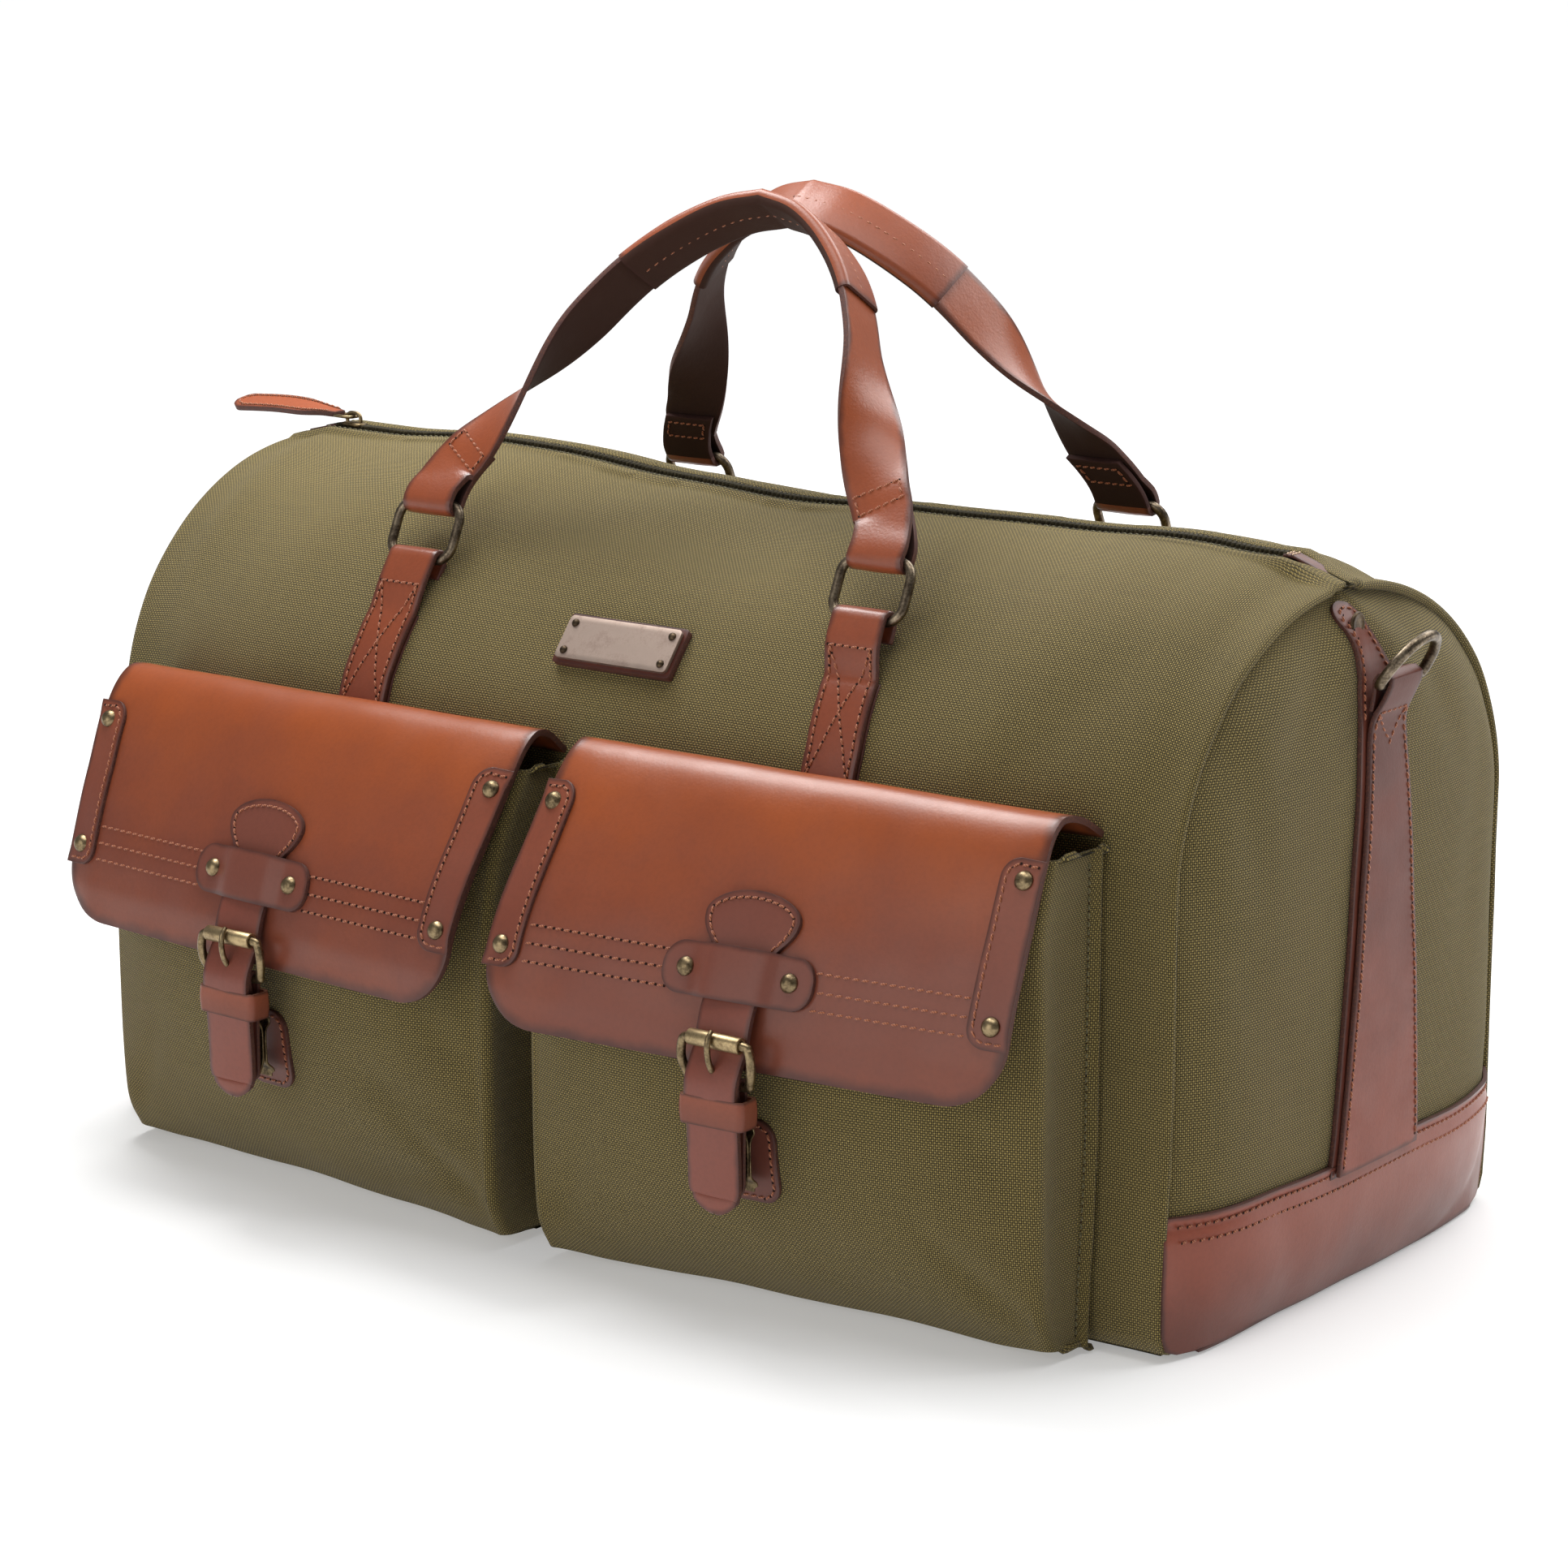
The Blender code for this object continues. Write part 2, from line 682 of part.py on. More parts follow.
def clip_base(name, side):
    """A sprung sheet-metal catch on the patch, bent from one strip."""
    wall = -HALF_DEPTH / MM - 61
    bends = [(2.2, 64), (3.0, 66.5), (7.2, 70), (7.6, 84), (5.4, 87.5), (7.6, 91)]
    line = [(wall - out, height) for out, height in bends]

    def point(u, row):
        return (side * POCKET_X + u * 8 * MM, line[row][0] * MM, line[row][1] * MM)

    return patch(name, point, (-1, 1), range(len(line)), 0.9 * MM, "brass", (0, -1, 0))


# Handles and rings. Side is -1 at the front and 1 at the back.

# One half of a handle's centre line, as parts of the ring spacing and of the height over the rings.
HALF_ARCH = [
    (0.0, 1.0), (0.17, 0.967), (0.345, 0.885), (0.52, 0.765), (0.665, 0.60), (0.775, 0.42), (0.885, 0.235),
    (0.962, 0.125), (1.0, 0.05),
]
GRIP_STEPS = 7
TWIST_STEPS = 6.0
FOLD_RADIUS = 3.9


def handle_axes(side):
    """A handle's plane: its origin between the rings, up to the apex, out from the bag, and its height."""
    origin = Vector((0, -side * RING_UPPER[0], RING_UPPER[1]))
    apex = Vector((0, -side * HANDLE_APEX[0], HANDLE_APEX[1]))
    up = (apex - origin).normalized()
    return origin, up, Vector((0, side * up.z, -side * up.y)), (apex - origin).length


def arch(side):
    """Centre points of one handle from left to right, each with the strap's width direction."""
    origin, up, out, height = handle_axes(side)
    half = smooth([(x * RING_X, h * height, 0) for x, h in HALF_ARCH], 2)
    flat = [Vector((-p.x, p.y, 0)) for p in reversed(half[1:])] + half
    points = [origin + Vector((p.x, 0, 0)) + up * p.y for p in flat]
    middle = len(half) - 1
    frames = []
    for k, place in enumerate(points):
        before, after = points[max(k - 1, 0)], points[min(k + 1, len(points) - 1)]
        across = (after - before).cross(out * -side).normalized()
        twist = min(1.0, max(0.0, (abs(k - middle) - GRIP_STEPS - 0.5) / TWIST_STEPS))
        angle = math.pi / 2 * twist * twist * (3 - 2 * twist)
        frames.append((place, (out * math.cos(angle) + across * math.sin(angle)) * -side))
    return frames, middle


def ring_fold(side, end):
    """The strap's way round a ring's upper bar, from its sewn end on the inside to the leg outside."""
    origin, up, out, _ = handle_axes(side)
    turn = [(FOLD_RADIUS * math.cos(a), -FOLD_RADIUS * math.sin(a)) for a in spread(math.pi, 0, 6)]
    path = [(-2.9, 22), (-3.0, 14), (-3.8, 6)] + turn + [(3.4, 6), (0.9, 14)]
    return [origin + Vector((end * RING_X, 0, 0)) + out * (o * MM) + up * (h * MM) for o, h in path]


def handle_strap(name, side):
    """A flat strap that ends in a fold round each ring."""
    frames, _ = arch(side)
    origin, up, _, _ = handle_axes(side)
    legs = [f for f in frames if (f[0] - origin).dot(up) > 19 * MM]
    left = [(p, Vector((math.copysign(1, legs[0][1].x), 0, 0))) for p in ring_fold(side, -1)]
    right = [(p, Vector((math.copysign(1, legs[-1][1].x), 0, 0))) for p in reversed(ring_fold(side, 1))]
    apex = len(left) + len(legs) // 2
    path = left + legs + right

    def point(u, k):
        place, width = path[k]
        half = 12 * MM if abs(k - apex) <= GRIP_STEPS + 1 else HANDLE_WIDTH / 2
        return place + width * (u * half)

    return patch(name, point, (-1, 1), range(len(path)), STRAP, "red_leather", (0, 0, 1), offset=0.0)


def handle_grip(name, side):
    """A leather sleeve sewn round the middle of the strap."""
    frames, middle = arch(side)
    outline = rounded_rectangle(14.6 * MM, 3.4 * MM, 2.6 * MM, 2)
    stations = frames[middle - GRIP_STEPS : middle + GRIP_STEPS + 1]

    def point(k, row):
        place, width = stations[row]
        before, after = stations[max(row - 1, 0)][0], stations[min(row + 1, len(stations) - 1)][0]
        normal = width.cross(after - before).normalized()
        return place + width * outline[k][0] + normal * outline[k][1]

    columns, rows = range(len(outline)), range(len(stations))
    return patch(name, point, columns, rows, 1.5 * MM, "tan_leather", frames[middle][1], wrap=True)


def ring(name, side, end):
    """A rounded rectangular wire ring between an anchor's fold and a handle's fold."""
    lower = Vector((end * RING_X, -side * RING_LOWER[0], RING_LOWER[1]))
    upper = Vector((end * RING_X, -side * RING_UPPER[0], RING_UPPER[1]))
    up = (upper - lower).normalized()
    middle = (upper + lower) / 2
    outline = rounded_rectangle(RING_HALF_WIDTH, (upper - lower).length / 2, RING_CORNER, 4)
    points = [middle + Vector((across, 0, 0)) + up * rise for across, rise in outline]
    return wire(name, points, RING_WIRE, "brass", cyclic=True)


def anchor(name, side, end):
    """A strap sewn up the wall, folded round a ring's lower bar."""
    bar = Vector(RING_LOWER) / MM
    along = Vector((0.48, 0.877))
    out = Vector((-0.877, 0.48))
    sewn = [front_point(0, z * MM, 2.0 * MM) / MM for z in (227, 233, 239)]
    turn = [bar + FOLD_RADIUS * (out * math.cos(a) + along * math.sin(a)) for a in spread(0, math.pi, 6)]
    path = [(p.y, p.z) for p in sewn] + [tuple(bar - 14 * along + 3.6 * out)]
    path += [tuple(p) for p in turn] + [tuple(bar - 6 * along - FOLD_RADIUS * out)]

    def point(u, k):
        depth, height = path[k]
        lean = end * (RING_X + (ANCHOR_X - RING_X) * min(1.0, max(0.0, (284 - height) / 50)))
        return (lean + u * ANCHOR_WIDTH / 2, -side * depth * MM, height * MM)

    return patch(name, point, (-1, 1), range(len(path)), STRAP, "red_leather", (0, side, 0), offset=0.0)


# Name plate, left blank, on its leather backing.


def blank_plate():
    outline = rounded_rectangle(31 * MM, 10.5 * MM, 2 * MM, 3)
    piece = plate("blank_plate", [outline], 3.2 * MM, "brass")
    middle = front_point(4 * MM, 259 * MM, 2.6 * MM)
    ahead = front_point(4 * MM, 260 * MM, 2.6 * MM)
    piece.location = middle
    piece.rotation_euler = (math.atan2(ahead.z - middle.z, ahead.y - middle.y), 0, 0)
    return piece


# Ends: a backing strap with a round riveted head, a top strap rolled round the D-ring.

END_STRAP_Y = [(60, 10), (250, 7), (292, -4)]
BAR_OFFSET = 8.8


def end_strap_y(z):
    return between(END_STRAP_Y, z / MM) * MM


def end_backing(name, side, top):
    widths = [(61, 34), (245, 16.6), (262, 16), (280, 11.5), (286, 9.5), (290, 6.5), (292, 3)]

    def point(u, z):
        y = end_strap_y(z) + u * between(widths, z / MM) * MM
        return (side * (end_x(y, z, top) + 2.2 * MM), y, z)

    rows = [z * MM for z in (61, 100, 140, 180, 215, 245, 262, 280, 286, 290, 292)]
    return patch(name, point, (-1, -0.33, 0.33, 1), rows, 1.7 * MM, "dark_leather", (side, 0, 0))


def end_strap(name, side, top):
    """The top strap: flat up the end, then rolled round the D-ring's bar."""
    widths = [(61, 33), (245, 15.6), (256, 14.2)]
    line = [(61, 4.1), (100, 4.1), (140, 4.1), (180, 4.1), (215, 4.1), (238, 4.3), (248, 6.0), (256, 9.6)]
    line += [
        (D_RING_Z / MM + 3.7 * math.sin(a), BAR_OFFSET + 3.7 * math.cos(a)) for a in spread(0, math.pi, 6)
    ]
    line += [(259.5, BAR_OFFSET - 3.6)]
    anchor_x = end_x(D_RING_Y, D_RING_Z, top)

    def point(u, row):
        z, out = line[row][0] * MM, line[row][1] * MM
        y = end_strap_y(min(z, 250 * MM)) + u * between(widths, z / MM) * MM
        blend = min(1.0, max(0.0, (z / MM - 240) / 22))
        lie = end_x(y, z, top) * (1 - blend) + anchor_x * blend
        return (side * (lie + out), y, z)

    return patch(name, point, (-1, 0, 1), range(len(line)), STRAP, "red_leather", (side, 0, 0), offset=0.0)


def d_ring(name, side, top):
    bar = Vector((side * (end_x(D_RING_Y, D_RING_Z, top) + BAR_OFFSET * MM), D_RING_Y, D_RING_Z))
    reach = Vector((side * math.cos(D_RING_ANGLE), 0, math.sin(D_RING_ANGLE)))
    bow = arc((0, 3), 17.3, 0, 180, 11)
    outline = [(-17.3, 0)] + [(-c, h * 1.3 - 0.9) for c, h in bow] + [(17.3, 0)]
    points = [bar + Vector((0, across * MM, 0)) + reach * (rise * MM) for across, rise in outline]
    return wire(name, points, RING_WIRE, "brass", cyclic=True)


def build():
    wall_panel("front_panel", -1)
    wall_panel("rear_panel", 1)
    bottom_panel()
    base_board()
    zip_tape("front_zip_tape", -1)
    zip_tape("rear_zip_tape", 1)
    zip_end_tab()
    zip_slider()
    zip_puller()
    blank_plate()
    for word, side, top in (("left", -1, LEFT_END_TOP), ("right", 1, RIGHT_END_TOP)):
        end_panel(f"{word}_end_panel", side, top)
        end_base(f"{word}_end_base", side, top)
        end_backing(f"{word}_end_backing", side, top)
        end_strap(f"{word}_end_strap", side, top)
        d_ring(f"{word}_d_ring", side, top)
        pocket(f"{word}_pocket", side)
        flap(f"{word}_flap", side)
        flap_root(f"{word}_flap_root", side)
        flap_strip(f"{word}_flap_left_strip", side, -1)
        flap_strip(f"{word}_flap_right_strip", side, 1)
        keeper_bar(f"{word}_keeper_bar", side)
        buckle_strap(f"{word}_buckle_strap", side)
        buckle_frame(f"{word}_buckle_frame", side)
        buckle_roller(f"{word}_buckle_roller", side)
        prong(f"{word}_buckle_prong", side)
        buckle_tab(f"{word}_buckle_tab", side)
        keeper_loop(f"{word}_keeper_loop", side)
        clip_patch(f"{word}_clip_patch", side)
        clip_base(f"{word}_clip_base", side)
    for word, side in (("front", -1), ("rear", 1)):
        handle_strap(f"{word}_handle_strap", side)
        handle_grip(f"{word}_handle_grip", side)
        for hand, end in (("left", -1), ("right", 1)):
            ring(f"{word}_{hand}_ring", side, end)
            anchor(f"{word}_{hand}_anchor", side, end)


build()
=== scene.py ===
"""The looks of a canvas weekender bag with leather trim: fine meshes, stitching and node materials.

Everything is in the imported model's frame, in metres: +X to the bag's right end, -Y to its pocketed
front, +Z up, and the origin at the centre of the flat bottom.
"""

import json
from math import atan2, ceil, copysign, cos, exp, hypot, pi, radians, sin, sqrt, tau

import bpy
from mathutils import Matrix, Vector, noise
from mathutils.kdtree import KDTree


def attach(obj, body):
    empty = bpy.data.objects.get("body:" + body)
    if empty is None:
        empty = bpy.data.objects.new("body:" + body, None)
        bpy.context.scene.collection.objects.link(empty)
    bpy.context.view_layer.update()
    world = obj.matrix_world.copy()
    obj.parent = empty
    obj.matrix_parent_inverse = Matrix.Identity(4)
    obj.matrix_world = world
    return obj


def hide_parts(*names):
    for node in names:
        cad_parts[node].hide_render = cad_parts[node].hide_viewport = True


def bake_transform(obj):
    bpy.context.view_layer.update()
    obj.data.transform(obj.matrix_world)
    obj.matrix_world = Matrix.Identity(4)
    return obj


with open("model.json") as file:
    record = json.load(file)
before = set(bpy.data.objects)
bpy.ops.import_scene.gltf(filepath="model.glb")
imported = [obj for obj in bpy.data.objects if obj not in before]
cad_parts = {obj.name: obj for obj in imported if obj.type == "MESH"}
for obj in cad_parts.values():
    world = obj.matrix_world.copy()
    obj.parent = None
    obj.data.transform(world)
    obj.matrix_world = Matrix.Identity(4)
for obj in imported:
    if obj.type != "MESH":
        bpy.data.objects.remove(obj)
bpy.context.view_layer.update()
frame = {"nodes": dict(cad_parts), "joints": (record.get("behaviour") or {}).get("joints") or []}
MM = 0.001
WORDS = {-1: "left", 1: "right"}


# Numbers and curves.


def spread(low, high, count):
    """Evenly spaced values from low to high, both included."""
    return [low + (high - low) * k / (count - 1) for k in range(count)]


def between(table, at):
    """Straight-line reading of a table of (position, value) pairs."""
    if at <= table[0][0]:
        return table[0][1]
    for (a, low), (b, high) in zip(table, table[1:]):
        if at <= b:
            return low + (high - low) * (at - a) / (b - a)
    return table[-1][1]


def ease(t):
    """A smooth step from 0 to 1."""
    t = min(1.0, max(0.0, t))
    return t * t * (3 - 2 * t)


def hump(at, middle, width):
    """A smooth bell, 1 at the middle."""
    return exp(-(((at - middle) / width) ** 2))


def smooth(points, steps):
    """A Catmull-Rom curve through the points, with this many steps between each pair."""
    points = [Vector(p) for p in points]
    padded = [2 * points[0] - points[1]] + points + [2 * points[-1] - points[-2]]
    curve = []
    for a, b, c, d in zip(padded, padded[1:], padded[2:], padded[3:]):
        for k in range(steps):
            t = k / steps
            curve.append(
                0.5 * (
                    2 * b + (c - a) * t + (2 * a - 5 * b + 4 * c - d) * t**2 + (3 * b - a - 3 * c + d) * t**3
                )
            )
    return curve + [points[-1]]


def soft_table(pairs, steps=6):
    """A table of (position, value) pairs with its corners rounded."""
    return [(p.x, p.y) for p in smooth(pairs, steps)]


def upright(x, pairs, steps):
    """A smooth curve through (y, z) pairs in mm, in the upright plane at x."""
    return smooth([(x, y * MM, z * MM) for y, z in pairs], steps)


def arc(centre, radius, start, end, count):
    """Points of an arc in a plane, its angles in degrees."""
    return [
        (centre[0] + radius * cos(radians(a)), centre[1] + radius * sin(radians(a)))
        for a in spread(start, end, count)
    ]


def rounded_rectangle(half_width, half_height, radius, count=5):
    """The outline of a rounded rectangle about the origin."""
    outline = []
    for right, up, start in ((1, 1, 0), (-1, 1, 90), (-1, -1, 180), (1, -1, 270)):
        centre = (right * (half_width - radius), up * (half_height - radius))
        outline += arc(centre, radius, start, start + 90, count)
    return outline


def rough(x, y, z, size):
    """Smooth noise from -1 to 1 whose lumps are about this size."""
    return noise.noise(Vector((x / size, y / size, z / size)))


def dense(corners, step):
    """The same polyline with points at most a step apart."""
    line = []
    for a, b in zip(corners, corners[1:]):
        a, b = Vector(a), Vector(b)
        count = max(1, ceil((b - a).length / step))
        line += [a + (b - a) * (k / count) for k in range(count)]
    return line + [Vector(corners[-1])]


# Materials.


class Recipe:
    """A node material in the making."""

    def __init__(self, name, **sockets):
        self.material = bpy.data.materials.new(name)
        self.material.use_nodes = True
        self.tree = self.material.node_tree
        self.shader = self.tree.nodes["Principled BSDF"]
        for key, value in sockets.items():
            self.set(key.replace("_", " "), value)

    def plug(self, value, socket):
        """Links a socket to another, or sets its value; a colour's alpha is always 1."""
        if isinstance(value, bpy.types.NodeSocket):
            self.tree.links.new(value, socket)
        elif socket.type == "RGBA":
            socket.default_value = (*value[:3], 1)
        else:
            socket.default_value = value

    def set(self, key, value):
        self.plug(value, self.shader.inputs[key])

    def node(self, kind, **settings):
        made = self.tree.nodes.new(kind)
        for key, value in settings.items():
            setattr(made, key, value)
        return made

    def math(self, operation, a, b=0.0, clamp=False):
        made = self.node("ShaderNodeMath", operation=operation, use_clamp=clamp)
        self.plug(a, made.inputs[0])
        self.plug(b, made.inputs[1])
        return made.outputs[0]

    def mix(self, factor, a, b, blend="MIX"):
        made = self.node("ShaderNodeMix", data_type="RGBA", blend_type=blend)
        self.plug(factor, made.inputs[0])
        self.plug(a, made.inputs[6])
        self.plug(b, made.inputs[7])
        return made.outputs[2]

    def remap(self, value, low, high, start=0.0, end=1.0):
        made = self.node("ShaderNodeMapRange", interpolation_type="SMOOTHSTEP")
        for k, number in enumerate((value, low, high, start, end)):
            self.plug(number, made.inputs[k])
        return made.outputs[0]

    def object_place(self):
        return self.node("ShaderNodeTexCoord").outputs["Object"]

    def cloth_place(self):
        return self.node("ShaderNodeUVMap", uv_map="cloth").outputs[0]

    def stretch(self, vector, factors):
        made = self.node("ShaderNodeVectorMath", operation="MULTIPLY")
        self.plug(vector, made.inputs[0])
        made.inputs[1].default_value = factors
        return made.outputs[0]

    def shift(self, vector, by, amount):
        """The vector moved by a colour's difference from grey."""
        centred = self.node("ShaderNodeVectorMath", operation="SUBTRACT")
        self.plug(by, centred.inputs[0])
        centred.inputs[1].default_value = (0.5, 0.5, 0.5)
        scaled = self.stretch(centred.outputs[0], (amount, amount, amount))
        made = self.node("ShaderNodeVectorMath", operation="ADD")
        self.plug(vector, made.inputs[0])
        self.plug(scaled, made.inputs[1])
        return made.outputs[0]

    def noise(self, vector, scale, detail=2.0, colour=False):
        made = self.node("ShaderNodeTexNoise")
        self.plug(vector, made.inputs["Vector"])
        made.inputs["Scale"].default_value = scale
        made.inputs["Detail"].default_value = detail
        return made.outputs["Color" if colour else 0]

    def cells(self, vector, scale):
        made = self.node("ShaderNodeTexVoronoi", feature="SMOOTH_F1")
        self.plug(vector, made.inputs["Vector"])
        made.inputs["Scale"].default_value = scale
        return made.outputs["Distance"]

    def bump(self, height, distance, strength=1.0, under=None):
        made = self.node("ShaderNodeBump")
        self.plug(height, made.inputs["Height"])
        made.inputs["Distance"].default_value = distance
        made.inputs["Strength"].default_value = strength
        if under is not None:
            self.plug(under, made.inputs["Normal"])
        return made.outputs[0]

    def split(self, vector):
        made = self.node("ShaderNodeSeparateXYZ")
        self.plug(vector, made.inputs[0])
        return made.outputs


EDGE = (0.042, 0.013, 0.010)


def canvas_material(name, light, dark, gap, cell=(0.9 * MM, 1.02 * MM), relief=0.5 * MM):
    """Plain-woven duck: each crossing is a small mound, and the weft's mounds are the lighter ones; the
    hollows between the mounds take the gap colour, a painted shade.
    """
    r = Recipe(name, Roughness=0.88, Sheen_Weight=0.12, Sheen_Roughness=0.5)
    r.set("Specular IOR Level", 0.25)
    flat = r.cloth_place()
    place = r.shift(flat, r.noise(flat, 420, 2, colour=True), 0.42 * MM)
    x, y, _ = r.split(place)
    across = r.math("SINE", r.math("MULTIPLY", x, pi / cell[0]))
    along = r.math("SINE", r.math("MULTIPLY", y, pi / cell[1]))
    crossing = r.math("MULTIPLY", across, along)
    mound = r.math("POWER", r.math("ABSOLUTE", crossing), 0.75)
    weft = r.remap(crossing, -0.15, 0.25)
    warp_slubs = r.noise(r.stretch(flat, (1.0, 0.03, 1.0)), 900, 2)
    weft_slubs = r.noise(r.stretch(flat, (0.03, 1.0, 1.0)), 800, 2)
    tone = r.math("ADD", r.math("MULTIPLY", weft, 0.75), r.math("MULTIPLY", weft_slubs, 0.45))
    tone = r.math("ADD", tone, r.math("MULTIPLY", warp_slubs, 0.35))
    cloud = r.noise(r.object_place(), 9, 3)
    tone = r.math("ADD", tone, r.math("MULTIPLY", cloud, 0.5))
    yarn = r.mix(r.remap(tone, 0.4, 1.5), dark, light)
    # The dark gap colour in the low spots between the mounds is painted shade.
    r.set("Base Color", r.mix(r.remap(mound, 0.08, 0.85), gap, yarn))
    height = r.math("MULTIPLY", mound, r.math("ADD", r.math("MULTIPLY", weft, 0.35), 0.65))
    r.set("Normal", r.bump(height, relief, 0.8))
    return r.material


def leather_material(name, bright, deep, low, high, roughness, grain, rim, coat):
    """Oiled full-grain leather, deeper in tone low down and burnished towards its cut edges."""
    r = Recipe(name, Coat_Weight=coat, Coat_Roughness=0.30)
    r.set("Specular IOR Level", 0.32)
    place = r.object_place()
    _, _, z = r.split(place)
    cloud = r.noise(place, 22, 4)
    height = r.remap(z, low * MM, high * MM)
    tone = r.math("ADD", height, r.math("MULTIPLY", r.math("SUBTRACT", cloud, 0.5), 1.1), clamp=True)
    colour = r.mix(tone, deep, bright)
    flecks = r.noise(place, 480, 3)
    colour = r.mix(r.remap(flecks, 0.35, 0.75, 0.0, 0.09), colour, EDGE)
    stored = r.node("ShaderNodeAttribute", attribute_name="rim").outputs["Fac"]
    uneven = r.math("MULTIPLY", r.math("SUBTRACT", r.noise(place, 90, 2), 0.5), rim * MM * 0.9)
    wander = r.math("ADD", stored, uneven)
    colour = r.mix(r.remap(wander, 0.0, rim * MM, 0.75, 0.0), colour, EDGE)
    r.set("Base Color", colour)
    pebbles = r.cells(r.shift(place, r.noise(place, 500, 2, colour=True), 0.5 * MM), 900)
    pores = r.noise(place, 2600, 2)
    wrinkles = r.noise(r.stretch(place, (1.0, 1.0, 0.4)), 150, 4)
    under = r.bump(wrinkles, 0.5 * MM, 0.18 * grain)
    under = r.bump(pebbles, 0.12 * MM, 0.30 * grain, under)
    r.set("Normal", r.bump(pores, 0.05 * MM, 0.35 * grain, under))
    shine = r.math("MULTIPLY", r.math("SUBTRACT", r.noise(place, 60, 3), 0.5), 0.22)
    r.set("Roughness", r.math("ADD", shine, roughness))
    return r.material


def edge_material(name, colour, pale):
    """The cut edge of leather: dyed dark, with its layers and fibres just showing."""
    r = Recipe(name)
    place = r.object_place()
    fibres = r.noise(place, 1400, 3)
    r.set("Base Color", r.mix(r.remap(fibres, 0.42, 0.8), colour, pale))
    r.set("Roughness", r.remap(fibres, 0.3, 0.8, 0.55, 0.8))
    r.set("Normal", r.bump(fibres, 0.18 * MM, 0.5))
    return r.material


def thread_material(name, light, dark):
    """Twisted thread, its plies as fine slanting ridges."""
    r = Recipe(name, Sheen_Weight=0.2)
    place = r.object_place()
    plies = r.node("ShaderNodeTexWave", wave_type="BANDS", bands_direction="DIAGONAL")
    r.plug(place, plies.inputs["Vector"])
    plies.inputs["Scale"].default_value = 420
    plies.inputs["Distortion"].default_value = 1.2
    r.set("Base Color", r.mix(plies.outputs["Fac"], dark, light))
    r.set("Roughness", r.remap(plies.outputs["Fac"], 0, 1, 0.75, 0.5))
    r.set("Normal", r.bump(plies.outputs["Fac"], 0.12 * MM, 0.7))
    return r.material


def metal_material(name, bright, dark, roughness=0.3, wear=0.5, brushed=(1.0, 1.0, 1.0)):
    """Antiqued metal: bright where it is rubbed, with a brown patina in blotches and fine scratches."""
    r = Recipe(name, Metallic=1.0)
    place = r.object_place()
    blotch = r.noise(place, 160, 4)
    specks = r.noise(place, 1100, 3)
    patina = r.math("ADD", r.math("MULTIPLY", blotch, 0.7), r.math("MULTIPLY", specks, 0.4))
    r.set("Base Color", r.mix(r.remap(patina, wear - 0.12, wear + 0.2), bright, dark))
    scratches = r.noise(r.stretch(place, brushed), 1800, 2)
    rub = r.math("ADD", r.math("MULTIPLY", patina, 0.28), r.math("MULTIPLY", scratches, 0.12))
    r.set("Roughness", r.math("ADD", rub, roughness - 0.18))
    under = r.bump(blotch, 0.15 * MM, 0.15)
    r.set("Normal", r.bump(scratches, 0.04 * MM, 0.35, under))
    return r.material


def plain_material(name, colour, pale, scale, roughness):
    """A dull fibrous surface for what hardly shows."""
    r = Recipe(name)
    r.set("Specular IOR Level", 0.15)
    place = r.object_place()
    fleck = r.noise(place, scale, 4)
    r.set("Base Color", r.mix(r.remap(fleck, 0.35, 0.7), colour, pale))
    r.set("Roughness", r.remap(fleck, 0.2, 0.8, roughness, min(1.0, roughness + 0.15)))
    r.set("Normal", r.bump(fleck, 0.2 * MM, 0.4))
    return r.material


CANVAS = canvas_material("olive_duck", (0.385, 0.288, 0.092), (0.150, 0.112, 0.033), (0.010, 0.008, 0.003))
# A darker, shaded copy of the duck: painted shade for the canvas's cut edges and for the canvas under the
# bag.
SHADED_CANVAS = canvas_material(
    "olive_duck_shade", (0.13, 0.10, 0.033), (0.075, 0.058, 0.018), (0.02, 0.016, 0.006)
)
TAPE = canvas_material(
    "zip_tape", (0.078, 0.062, 0.022), (0.045, 0.036, 0.013), (0.015, 0.012, 0.006), (0.5 * MM, 0.7 * MM),
    0.15 * MM
)
